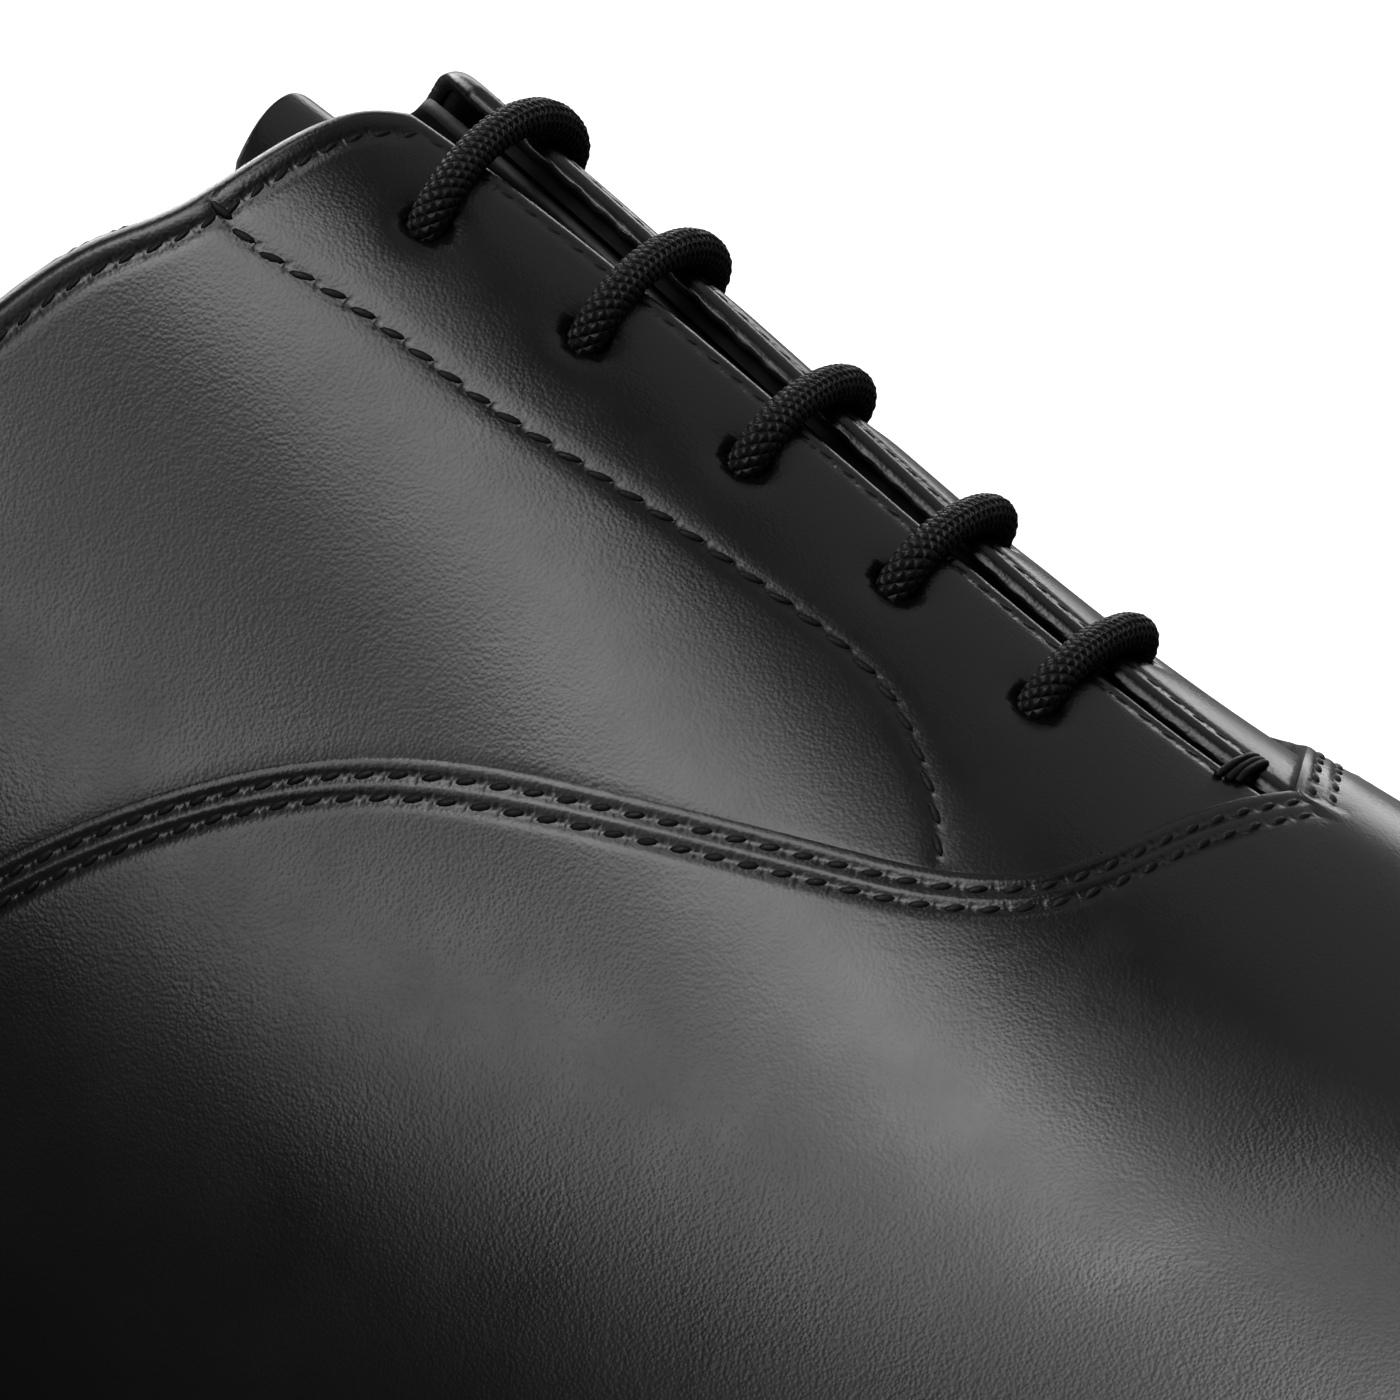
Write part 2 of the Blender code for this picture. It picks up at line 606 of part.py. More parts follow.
def make_heel(sole_leather, rubber):
    lifts = []
    lines = grid_lines(LAST_BACK, HEEL_BREAST)
    ground = -SHIFT.z
    for i, ((bottom, top), spread) in enumerate(zip(HEEL_LEVELS, HEEL_SPREAD)):
        last_one = i == len(HEEL_LEVELS) - 1
        name = "heel_top_piece" if last_one else f"heel_lift_{i + 1}"
        if i == 0:
            upper = level(OUTSOLE[1] - JOINT_GAP)
        else:
            upper = lambda x, z=top + ground: z
        lift = plate(name, rubber if last_one else sole_leather, lines, upper,
                     lambda x, z=bottom + ground: z, even(spread))
        if not last_one:
            lifts.append(lift)
    return lifts


def make_nails(steel, drilled):
    cutters = []
    for i, (x, y) in enumerate(NAIL_PLACES):
        foot = Vector((x, y, NAIL_FOOT - SHIFT.z))
        head = Vector((x, y, feather_height(x) + INSOLE[0] - NAIL_DEPTH))
        cylinder(f"heel_nail_{i + 1}", foot, head, NAIL_RADIUS, 8, "oxford_shoe", steel)
        below, above = foot - Vector((0, 0, NAIL_DEPTH)), head + Vector((0, 0, NAIL_CLEAR))
        cutters.append(cylinder(f"nail_hole_{i + 1}", below, above, NAIL_HOLE, 8, "cutters"))
    for piece in drilled:
        cut_with(piece, cutters)


# ---------------------------------------------------------------- lacing

def eyelet(row, side, off, shift=0.0):
    """A point at an eyelet, moved by a share towards the gap."""
    return on_last(EYELET_STATIONS[row - 1], EYELET_SHARES[row - 1] + shift, side, off)


def bar(row, start):
    """The lace from the inside of one eyelet, over the facings, into the one opposite."""
    up = [eyelet(row, start, off) for off in (-1.6, 1.0, 3.6)]
    up += [eyelet(row, start, 5.0, .012), eyelet(row, start, OVER, .035), eyelet(row, start, OVER, .06)]
    down = [eyelet(row, -start, OVER, .06), eyelet(row, -start, OVER, .035), eyelet(row, -start, 5.0, .012)]
    down += [eyelet(row, -start, off) for off in (3.6, 1.0, -1.6)]
    return up + down


def inner_run(start_row, end_row, side, lane):
    """The lace under the facing from one eyelet to a later one, past the eyelets between."""
    x0, x1 = EYELET_STATIONS[start_row - 1], EYELET_STATIONS[end_row - 1]
    v0, v1 = EYELET_SHARES[start_row - 1], EYELET_SHARES[end_row - 1]
    points = []
    for share in (.2, .35, .5, .65, .8):
        swerve = math.sin(math.pi * share) ** .6
        points.append(on_last(x0 + (x1 - x0) * share, v0 + (v1 - v0) * share + lane * swerve, side, UNDER))
    return points


def make_lace(cotton):
    """Straight bar lacing: five bars on top, the runs between the rows hidden under the facings."""
    route = [on_last(x, v, LATERAL, UNDER) for x, v in reversed(TAIL_EXIT)]
    route += bar(2, LATERAL) + inner_run(2, 4, MEDIAL, LANE) + bar(4, MEDIAL)
    route += inner_run(4, 5, LATERAL, 0.0) + bar(5, LATERAL) + inner_run(5, 3, MEDIAL, -LANE)
    route += bar(3, MEDIAL) + inner_run(3, 1, LATERAL, LANE) + bar(1, LATERAL)
    route += [on_last(x, v, MEDIAL, UNDER) for x, v in TAIL_EXIT[1:]]
    tube("lace", cotton, route, LACE_RADIUS)


def tail_route(side, floor_run):
    """A free end of the lace: down the wall from the tongue's edge, then along the sock."""
    x, v = TAIL_EXIT[-1]
    before = on_last(*TAIL_EXIT[-2], side, UNDER)
    start = on_last(x, v, side, UNDER)
    route = [start + (start - before).normalized() * CORD_GAP]
    route += [on_last(x, v, side, off) for x, v, off in TAIL_WALL]
    rest = SOCK[0] + LACE_RADIUS + 2 * CORD_GAP
    route += [Vector((x, y, feather_height(x) + rest)) for x, y in floor_run]
    return smooth_route(route, TAIL_PITCH)


def make_tails(cotton, tip_plastic):
    for side, word in ((LATERAL, "lateral"), (MEDIAL, "medial")):
        route = tail_route(side, TAIL_FLOOR[side])
        tube("lace_tail_" + word, cotton, route, LACE_RADIUS)
        ahead = (route[-1] - route[-2]).normalized()
        tip_start = route[-1] + ahead * CORD_GAP
        cylinder("aglet_" + word, tip_start, tip_start + ahead * AGLET_LENGTH, AGLET_RADIUS, 12,
                 "oxford_shoe", tip_plastic)


def make_bar_tack(thread):
    points = [on_last(TACK_STATION, v, LATERAL, TACK_HEIGHT) for v in TACK_SHARES]
    points += [on_last(TACK_STATION, v, MEDIAL, TACK_HEIGHT) for v in reversed(TACK_SHARES[:-1])]
    tube("bar_tack", thread, points, TACK_RADIUS, 1)


# ---------------------------------------------------------------- assembly

def main():
    for old in list(bpy.data.objects):
        bpy.data.objects.remove(old)
    for name in ("oxford_shoe", "cutters"):
        bpy.context.scene.collection.children.link(bpy.data.collections.new(name))
    black_calf = new_material("black_calf", (.012, .012, .013), .32)
    lining_leather = new_material("lining_leather", (.42, .30, .19), .6)
    black_lining = new_material("black_lining", (.020, .019, .018), .6)
    suede = new_material("heel_grip_suede", (.03, .028, .026), .85)
    fibre = new_material("stiffener_fibre", (.55, .50, .42), .8)
    tape = new_material("stay_tape", (.62, .60, .55), .8)
    insole_leather = new_material("insole_leather", (.50, .36, .22), .65)
    cork = new_material("cork", (.35, .22, .12), .9)
    steel = new_material("steel", (.55, .55, .56), .35, 1.0)
    sole_leather = new_material("sole_leather", (.10, .07, .05), .5)
    welt_leather = new_material("welt_leather", (.02, .018, .018), .45)
    sock_leather = new_material("sock_leather", (.40, .28, .17), .55)
    rubber = new_material("heel_rubber", (.02, .02, .02), .7)
    cotton = new_material("waxed_cotton", (.012, .012, .015), .5)
    tip_plastic = new_material("lace_tip_plastic", (.012, .012, .012), .3)
    thread = new_material("thread", (.015, .015, .015), .6)
    quarters = make_outer(black_calf)
    linings = make_linings(lining_leather, black_lining, suede)
    stays = make_stiffeners(fibre, tape)
    for side, word in ((LATERAL, "lateral"), (MEDIAL, "medial")):
        punch_eyelets(side, word, (quarters[side], stays[side], linings[side]))
    make_tongue(black_calf, black_lining)
    drilled = make_bottom(insole_leather, cork, steel, sole_leather, welt_leather, sock_leather)
    drilled += make_heel(sole_leather, rubber)
    make_nails(steel, drilled)
    make_lace(cotton)
    make_tails(cotton, tip_plastic)
    make_bar_tack(thread)


main()
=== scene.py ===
# %% [markdown]
# # A leather oxford shoe, piece by piece
# The shoe is built the way it is made: an upper of thin leathers drawn over a last, a lining
# inside it, and a welted bottom under it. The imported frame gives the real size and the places
# of everything. This script makes the leather, thread and cord that a close look shows.

# %% Load the frame
import math

import bmesh
import bpy
import numpy as np
from mathutils import Matrix, Vector
from mathutils.kdtree import KDTree


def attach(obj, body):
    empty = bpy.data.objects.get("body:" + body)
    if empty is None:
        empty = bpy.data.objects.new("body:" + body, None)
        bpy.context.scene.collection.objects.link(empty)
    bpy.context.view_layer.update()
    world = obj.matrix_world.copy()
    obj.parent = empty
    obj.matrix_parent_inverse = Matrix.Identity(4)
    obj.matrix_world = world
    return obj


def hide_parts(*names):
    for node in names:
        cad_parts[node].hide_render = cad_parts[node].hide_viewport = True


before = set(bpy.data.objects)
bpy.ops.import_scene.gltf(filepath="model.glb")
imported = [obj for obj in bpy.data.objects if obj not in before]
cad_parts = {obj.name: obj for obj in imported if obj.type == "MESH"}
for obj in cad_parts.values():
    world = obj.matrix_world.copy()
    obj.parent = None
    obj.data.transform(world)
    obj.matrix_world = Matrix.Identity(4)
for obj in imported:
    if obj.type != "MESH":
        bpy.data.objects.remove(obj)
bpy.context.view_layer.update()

# %% [markdown]
# ## The last
# A shoemaker works on a last, the solid form of a foot. Every leather lies on it, so one
# smooth surface carries them all. A place on it is a station (millimetres from the heel), a
# share of the section (0 at the feather edge where the upper meets the sole, 1 on the ridge)
# and a side. NumPy works on whole arrays of places at once, which keeps fine grids quick.

# %% Sizes of the last, in millimetres
MM = 0.001
LATERAL, MEDIAL = -1, 1
SIDES = ((LATERAL, "lateral"), (MEDIAL, "medial"))
SHIFT = np.array((-152.13, -0.08, 0.95))      # from the heel-based layout to the frame
LAST_BACK, LAST_TOE = 8.0, 298.0
HEEL_ROUND, TOE_ROUND, TOE_DROP = 40.0, 70.0, 30.0
BACK_REACH = 110.0
CENTRE_LINE = ((8, 0), (120, 0), (200, 1.5), (298, 8))
HALF_WIDTH = {
    LATERAL: ((8, 31), (60, 31), (110, 32.5), (150, 39), (195, 47.5), (225, 47.5), (260, 41.5), (298, 36)),
    MEDIAL: ((8, 31), (60, 28), (120, 24.5), (160, 31), (205, 42), (235, 43), (262, 39), (298, 34)),
}
FEATHER_HEIGHT = ((8, 33.5), (60, 32), (100, 25.5), (140, 17), (175, 12.7), (205, 11.5), (240, 12.5),
                  (270, 15.2), (298, 20))
RIDGE_HEIGHT = ((8, 131), (50, 131), (80, 128.5), (100, 124), (118, 115.5), (150, 94), (186, 70.2),
                (200, 63.8), (220, 57.5), (245, 51.8), (270, 48.5), (298, 47))
SIDE_SWELL = ((8, 3.5), (60, 4), (110, 5), (150, 4.5), (205, 4), (260, 3), (298, 2.5))
SHOULDER = ((8, .90), (60, .88), (110, .80), (150, .74), (186, .78), (215, .84), (260, .92), (298, .95))
CROWN = ((8, .85), (60, .80), (110, .50), (150, .36), (186, .40), (215, .50), (260, .62), (298, .65))
BACK_CURVE = ((0, 0), (20, -4), (58, 1.5), (98, 9))


# %% A smooth curve through a few points
def curve_through(points):
    """Natural cubic spline through (x, y) points, as a function of one number or an array."""
    x, y = np.array(points, float).T
    h = np.diff(x)
    n = len(x)
    a, b = np.eye(n), np.zeros(n)
    for i in range(1, n - 1):
        a[i, i - 1:i + 2] = h[i - 1], 2 * (h[i - 1] + h[i]), h[i]
        b[i] = 6 * ((y[i + 1] - y[i]) / h[i] - (y[i] - y[i - 1]) / h[i - 1])
    m = np.linalg.solve(a, b)

    def at(value):
        value = np.clip(np.asarray(value, float), x[0], x[-1])
        i = np.clip(np.searchsorted(x, value, side="right") - 1, 0, n - 2)
        p, q = value - x[i], x[i + 1] - value
        bend = (m[i] * q ** 3 + m[i + 1] * p ** 3) / (6 * h[i])
        return bend + (y[i] / h[i] - m[i] * h[i] / 6) * q + (y[i + 1] / h[i] - m[i + 1] * h[i] / 6) * p
    return at


centre_line = curve_through(CENTRE_LINE)
half_width = {side: curve_through(points) for side, points in HALF_WIDTH.items()}
feather_height, ridge_height = curve_through(FEATHER_HEIGHT), curve_through(RIDGE_HEIGHT)
side_swell, shoulder, crown = curve_through(SIDE_SWELL), curve_through(SHOULDER), curve_through(CROWN)
back_curve = curve_through(BACK_CURVE)


# %% The surface and its normal
def smooth(value):
    """0 below 0, 1 above 1, with a soft change between."""
    value = np.clip(value, 0, 1)
    return value * value * (3 - 2 * value)


def rounding(distance, reach):
    return np.sqrt(1 - np.clip(1 - distance / reach, 0, 1) ** 3)


def station(t):
    return LAST_BACK + (LAST_TOE - LAST_BACK) * (1 - np.cos(np.pi * t)) / 2


def line_of(x):
    share = (np.clip(x, LAST_BACK, LAST_TOE) - LAST_BACK) / (LAST_TOE - LAST_BACK)
    return np.arccos(1 - 2 * share) / np.pi


def surface(x, v, side):
    """Places on the last: five-sided Bezier sections, closed in at the heel and the toe."""
    x, v = np.broadcast_arrays(np.asarray(x, float), np.asarray(v, float))
    ends = rounding(x - LAST_BACK, HEEL_ROUND) * rounding(LAST_TOE - x, TOE_ROUND)
    width, swell = half_width[side](x), side_swell(x)
    low = feather_height(x)
    high = (ridge_height(x) - low) * rounding(LAST_TOE - x, TOE_DROP)
    full = width + swell
    across = (width, width + .9 * swell, width + 1.7 * swell, full * shoulder(x), full * crown(x), 0 * full)
    up = (0, .10, .32, .70, 1, 1)
    weights = [math.comb(5, i) * (1 - v) ** (5 - i) * v ** i for i in range(6)]
    y = sum(w * a for w, a in zip(weights, across))
    z = sum(w * u for w, u in zip(weights, up)) * high
    pull = np.clip(1 - (x - LAST_BACK) / BACK_REACH, 0, 1) ** 3
    return np.stack([x + pull * back_curve(z), centre_line(x) + side * ends * y, low + z], -1)


def raw_normal(x, v, side):
    step = 2e-4
    t, v = np.clip(line_of(x), 2 * step, 1 - 1e-3), np.clip(v, step, 1 - step)
    along = surface(station(t + step), v, side) - surface(station(t - step), v, side)
    up = surface(station(t), v + step, side) - surface(station(t), v - step, side)
    out = np.cross(along, up) * -side
    return out / np.linalg.norm(out, axis=-1, keepdims=True)


def normal(x, v, side):
    """Outward normals, made to agree where the two sides meet."""
    x, v = np.broadcast_arrays(np.asarray(x, float), np.asarray(v, float))
    out = raw_normal(x, v, side)
    out = np.where((v > 1 - 1e-3)[..., None], raw_normal(x, v, LATERAL), out)
    t = line_of(x)[..., None]
    out = np.where(t > 1 - 2e-3, np.array((1.0, 0, 0)), out)
    out = np.where(t < 2e-3, out * (1, 0, 1), out)
    return out / np.linalg.norm(out, axis=-1, keepdims=True)


def on_last(x, v, side, off):
    """Places at the distance off outside the last."""
    return surface(x, v, side) + normal(x, v, side) * np.asarray(off, float)[..., None]


def constant(value):
    """A rule that gives the same value at every place."""
    return lambda x, *place: value + 0 * x


def feather(x, side, spread, drop):
    """The sole's plan outline, spread outwards from the feather edge and moved by drop."""
    x = np.asarray(x, float)
    t = line_of(x)
    step = 1e-3
    before, after = station(np.clip(t - step, 0, 1)), station(np.clip(t + step, 0, 1))
    run = surface(after, 0, side) - surface(before, 0, side)
    run = np.where((t < step)[..., None], np.array((0, side, 0.0)), run)
    run = np.where((t > 1 - step)[..., None], np.array((0, -side, 0.0)), run)
    out = np.stack([run[..., 1], -run[..., 0], 0 * x], -1) * -side
    out /= np.linalg.norm(out, axis=-1, keepdims=True)
    place = surface(x, 0, side) + out * np.asarray(spread, float)[..., None]
    place[..., 2] = feather_height(place[..., 0]) + drop
    return place


ball = float(surface(205, .3, MEDIAL)[1] - surface(205, .3, LATERAL)[1])
print(f"last: {LAST_TOE - LAST_BACK:.0f} mm long, {ball:.0f} mm wide at the ball")

# %% [markdown]
# ## The camera and the light
# The shoe is seen from its outer side and a little in front, quite close, through a long
# lens. Every box stands four metres off. A tall one and a wide one above it give the broad
# sheen on the quarter and the vamp, and the others trace the edges and lift the far sides. The
# rest of the room stays dim, so that black leather stays black. The floor is pale, and to
# reflections it is dimmer than to the camera, as a table with dark flags beside it would be.

# %% Camera
CAMERA_AZIMUTH, CAMERA_ELEVATION = math.radians(28), math.radians(15)
CAMERA_DISTANCE, VIEW_WIDTH = 1.1, 0.0933
AIM_RIGHT, AIM_UP = -0.038, 0.0058            # from the throat of the lacing to the picture's middle


def camera_axes():
    a, e = CAMERA_AZIMUTH, CAMERA_ELEVATION
    right = Vector((math.cos(a), math.sin(a), 0))
    up = Vector((-math.sin(a) * math.sin(e), math.cos(a) * math.sin(e), math.cos(e)))
    back = Vector((math.sin(a) * math.cos(e), -math.cos(a) * math.cos(e), math.sin(e)))
    return right, up, back


right, up, back = camera_axes()
throat = Vector((on_last(186.0, 1.0, LATERAL, 3.8) + SHIFT) * MM)
aim = throat + right * AIM_RIGHT + up * AIM_UP
camera_data = bpy.data.cameras.new("camera")
camera_data.lens = camera_data.sensor_width * CAMERA_DISTANCE / VIEW_WIDTH
camera_data.clip_start, camera_data.clip_end = 0.05, 20
camera = bpy.data.objects.new("camera", camera_data)
camera.location = aim + back * CAMERA_DISTANCE
camera.rotation_mode = "QUATERNION"
camera.rotation_quaternion = back.to_track_quat("Z", "Y")
bpy.context.scene.collection.objects.link(camera)
bpy.context.scene.camera = camera
print(f"camera: {camera_data.lens:.0f} mm lens at {CAMERA_DISTANCE} m")


# %% Lights
def soft_box(name, toward, spread, radiance, along=(0, 0, 1), distance=4.0, target=(0.02, -0.04, 0.05)):
    """An area light in the direction toward (azimuth, elevation), spread over half-angles, all in degrees."""
    azimuth, elevation = (math.radians(angle) for angle in toward)
    out = Vector((math.sin(azimuth) * math.cos(elevation), -math.cos(azimuth) * math.cos(elevation),
                  math.sin(elevation)))
    light = bpy.data.lights.new(name, "AREA")
    light.shape = "RECTANGLE"
    light.size, light.size_y = (2 * distance * math.tan(math.radians(angle)) for angle in spread)
    light.energy = math.pi * radiance * light.size * light.size_y
    lamp = bpy.data.objects.new(name, light)
    lamp.location = Vector(target) + out * distance
    across = Vector(along).cross(out).normalized()
    lamp.rotation_mode = "QUATERNION"
    lamp.rotation_quaternion = Matrix((across, out.cross(across), out)).transposed().to_quaternion()
    bpy.context.scene.collection.objects.link(lamp)


soft_box("tall_box", (-18.5, 37), (5, 29), 5.0, (.075, -.022, 1))
soft_box("wide_box", (12, 60), (14, 12.5), 5.0)
soft_box("high_box", (-50, 79), (3.4, 16.5), 5.0, (0, 1, 0))
soft_box("low_fill", (0, 24), (12, 12), 0.5)
soft_box("back_fill", (150, 52), (25, 22), 0.35)
soft_box("heel_box", (-125, 32), (14, 20), 4.0)
soft_box("far_box", (205, 16), (22, 8), 3.0)
bpy.context.scene.view_settings.view_transform = "Standard"

# %% World and floor
world = bpy.data.worlds.new("studio")
world.use_nodes = True
bpy.context.scene.world = world
backdrop = world.node_tree.nodes["Background"]
seen = world.node_tree.nodes.new("ShaderNodeLightPath")
level = world.node_tree.nodes.new("ShaderNodeMapRange")
level.inputs["To Min"].default_value, level.inputs["To Max"].default_value = 0.03, 1.0
world.node_tree.links.new(seen.outputs["Is Camera Ray"], level.inputs["Value"])
world.node_tree.links.new(level.outputs["Result"], backdrop.inputs["Strength"])
backdrop.inputs["Color"].default_value = (1, 1, 1, 1)

floor_bm = bmesh.new()
bmesh.ops.create_grid(floor_bm, x_segments=2, y_segments=2, size=6)
floor_mesh = bpy.data.meshes.new("floor")
floor_bm.to_mesh(floor_mesh)
floor_bm.free()
floor = bpy.data.objects.new("floor", floor_mesh)
bpy.context.scene.collection.objects.link(floor)
pale = bpy.data.materials.new("pale_floor")
pale.use_nodes = True
shader = pale.node_tree.nodes["Principled BSDF"]
shader.inputs["Roughness"].default_value = 0.9
shader.inputs["Emission Color"].default_value = (1, 1, 1, 1)
path = pale.node_tree.nodes.new("ShaderNodeLightPath")
tint = pale.node_tree.nodes.new("ShaderNodeMix")
tint.data_type = "RGBA"
tint.inputs["A"].default_value = (0.05, 0.05, 0.05, 1)
tint.inputs["B"].default_value = (0.85, 0.85, 0.85, 1)
glow = pale.node_tree.nodes.new("ShaderNodeMath")
glow.operation = "MULTIPLY"
glow.inputs[1].default_value = 0.62
pale.node_tree.links.new(path.outputs["Is Camera Ray"], tint.inputs["Factor"])
pale.node_tree.links.new(path.outputs["Is Camera Ray"], glow.inputs[0])
pale.node_tree.links.new(tint.outputs["Result"], shader.inputs["Base Color"])
pale.node_tree.links.new(glow.outputs[0], shader.inputs["Emission Strength"])
floor_mesh.materials.append(pale)
print("floor and", len(bpy.data.lights), "soft boxes")

# %% [markdown]
# ## Finishes
# Four effects are node groups, made once: a fine pebble grain for leathers, a slow mottling
# that breaks up any flat colour, the holes along a sewn row and a braid for cords. The groups
# only put out heights and masks. Each material keeps its own shader.


# %% Node helpers
def add_node(tree, kind, inputs=(), **settings):
    node = tree.nodes.new("ShaderNode" + kind)
    for key, value in settings.items():
        setattr(node, key, value)
    for key, value in dict(inputs).items():
        node.inputs[key].default_value = value
    return node


def new_group(name, inputs, outputs):
    """A shader node group with named number inputs and outputs; returns it with its two ends."""
    group = bpy.data.node_groups.new(name, "ShaderNodeTree")
    for label, value in inputs:
        socket = group.interface.new_socket(label, in_out="INPUT", socket_type="NodeSocketFloat")
        socket.default_value = value
    for label in outputs:
        group.interface.new_socket(label, in_out="OUTPUT", socket_type="NodeSocketFloat")
    start, end = group.nodes.new("NodeGroupInput"), group.nodes.new("NodeGroupOutput")
    return group, start, end


def scaled(tree, vector, number):
    """A vector times a number, both sockets."""
    node = add_node(tree, "VectorMath", operation="SCALE")
    tree.links.new(vector, node.inputs[0])
    tree.links.new(number, node.inputs["Scale"])
    return node.outputs[0]


def maths(tree, operation, first, second=None):
    node = add_node(tree, "Math", operation=operation)
    for slot, value in enumerate((first, second)):
        if value is None:
            continue
        if isinstance(value, (int, float)):
            node.inputs[slot].default_value = value
        else:
            tree.links.new(value, node.inputs[slot])
    return node.outputs[0]


# %% Group: pebble grain
# Calf skin has tiny rounded cells with creases between them. A smooth cell pattern gives the
# cells, and two noises make their size and height uneven.
grain_inputs = (("Cell", 0.45), ("Unevenness", 0.5))
pebble_grain, ends_in, ends_out = new_group("pebble_grain", grain_inputs, ("Height",))
coords = add_node(pebble_grain, "TexCoord").outputs["Object"]
per_cell = maths(pebble_grain, "DIVIDE", 1000.0, ends_in.outputs["Cell"])
cells = add_node(pebble_grain, "TexVoronoi", {"Scale": 1.0, "Smoothness": 0.6}, feature="SMOOTH_F1")
pebble_grain.links.new(scaled(pebble_grain, coords, per_cell), cells.inputs["Vector"])
soft = add_node(pebble_grain, "TexNoise", {"Scale": 0.35, "Detail": 2.0})
pebble_grain.links.new(scaled(pebble_grain, coords, per_cell), soft.inputs["Vector"])
pebble = maths(pebble_grain, "SUBTRACT", 1.0, cells.outputs["Distance"])
uneven = maths(pebble_grain, "MULTIPLY", soft.outputs["Fac"], ends_in.outputs["Unevenness"])
pebble_grain.links.new(maths(pebble_grain, "ADD", pebble, uneven), ends_out.inputs["Height"])

# %% Group: mottling
mottling, ends_in, ends_out = new_group("mottling", (("Size", 12.0), ("Low", 0.9), ("High", 1.1)), ("Value",))
coords = add_node(mottling, "TexCoord").outputs["Object"]
per_cloud = maths(mottling, "DIVIDE", 1000.0, ends_in.outputs["Size"])
clouds = add_node(mottling, "TexNoise", {"Scale": 1.0, "Detail": 4.0, "Roughness": 0.6})
mottling.links.new(scaled(mottling, coords, per_cloud), clouds.inputs["Vector"])
spread_out = add_node(mottling, "MapRange", {"From Min": 0.3, "From Max": 0.7})
mottling.links.new(clouds.outputs["Fac"], spread_out.inputs["Value"])
mottling.links.new(ends_in.outputs["Low"], spread_out.inputs["To Min"])
mottling.links.new(ends_in.outputs["High"], spread_out.inputs["To Max"])
mottling.links.new(spread_out.outputs["Result"], ends_out.inputs["Value"])

# %% Group: stitch holes
# Along a sewn row the leather is drawn in, most of all where the needle went through. Each
# leather carries where its rows run: pitches along the row, millimetres beside it, and where
# the row passes at all.
stitch_holes, ends_in, ends_out = new_group("stitch_holes", (("Width", .42), ("Between", .55)), ("Height",))
drawn_in = []
for name in ("row_1", "row_2"):
    mark = add_node(stitch_holes, "SeparateXYZ")
    carried = add_node(stitch_holes, "Attribute", attribute_name=name)
    stitch_holes.links.new(carried.outputs["Vector"], mark.inputs[0])
    beside = maths(stitch_holes, "DIVIDE", mark.outputs["Y"], ends_in.outputs["Width"])
    squared = maths(stitch_holes, "POWER", maths(stitch_holes, "ABSOLUTE", beside), 2.0)
    trough = maths(stitch_holes, "EXPONENT", maths(stitch_holes, "MULTIPLY", squared, -1.0))
    turn = maths(stitch_holes, "COSINE", maths(stitch_holes, "MULTIPLY", mark.outputs["X"], 2 * math.pi))
    hole = maths(stitch_holes, "POWER", maths(stitch_holes, "MAXIMUM", turn, 0.0), 2.0)
    depth = maths(stitch_holes, "MAXIMUM", hole, ends_in.outputs["Between"])
    pulled = maths(stitch_holes, "MULTIPLY", trough, depth)
    drawn_in.append(maths(stitch_holes, "MULTIPLY", pulled, mark.outputs["Z"]))
deepest = maths(stitch_holes, "MAXIMUM", *drawn_in)
stitch_holes.links.new(maths(stitch_holes, "SUBTRACT", 1.0, deepest), ends_out.inputs["Height"])

# %% Group: braid
# Two sets of strands wind round a cord and cross over and under each other. Along the cord's
# own map they show as a grid of small diamonds.
braid, ends_in, ends_out = new_group("braid", (("Along", 1.0), ("Around", 7.0)), ("Height",))
uv = add_node(braid, "SeparateXYZ")
braid.links.new(add_node(braid, "TexCoord").outputs["UV"], uv.inputs[0])
run_along = maths(braid, "MULTIPLY", uv.outputs["X"], ends_in.outputs["Along"])
run_round = maths(braid, "MULTIPLY", uv.outputs["Y"], ends_in.outputs["Around"])
strands = []
for operation in ("ADD", "SUBTRACT"):
    phase = maths(braid, operation, run_along, run_round)
    strands.append(maths(braid, "ABSOLUTE", maths(braid, "SINE", maths(braid, "MULTIPLY", phase, math.pi))))
diamond = maths(braid, "MINIMUM", *strands)
braid.links.new(maths(braid, "POWER", diamond, 0.6), ends_out.inputs["Height"])
print("groups:", ", ".join(group.name for group in bpy.data.node_groups))


# %% A material from a few choices
def group_value(tree, group, output, **inputs):
    node = add_node(tree, "Group", node_tree=group)
    for label, value in inputs.items():
        node.inputs[label].default_value = value
    return node.outputs[output]


def new_material(name, colour, roughness, metallic=0.0, coat=0.0, mottle=(12.0, 0.85, 1.15), **plain):
    """A Principled material whose colour and roughness vary slowly; returns it with its tree and shader."""
    material = bpy.data.materials.new(name)
    material.use_nodes = True
    tree = material.node_tree
    shader = tree.nodes["Principled BSDF"]
    shader.inputs["Metallic"].default_value = metallic
    shader.inputs["Coat Weight"].default_value = coat
    for label, value in plain.items():
        shader.inputs[label.replace("_", " ")].default_value = value
    size, low, high = mottle
    value = group_value(tree, mottling, "Value", Size=size, Low=low, High=high)
    tree.links.new(maths(tree, "MULTIPLY", value, roughness), shader.inputs["Roughness"])
    rgb = add_node(tree, "RGB")
    rgb.outputs[0].default_value = (*colour, 1)
    tree.links.new(scaled(tree, rgb.outputs[0], value), shader.inputs["Base Color"])
    return material, tree, shader


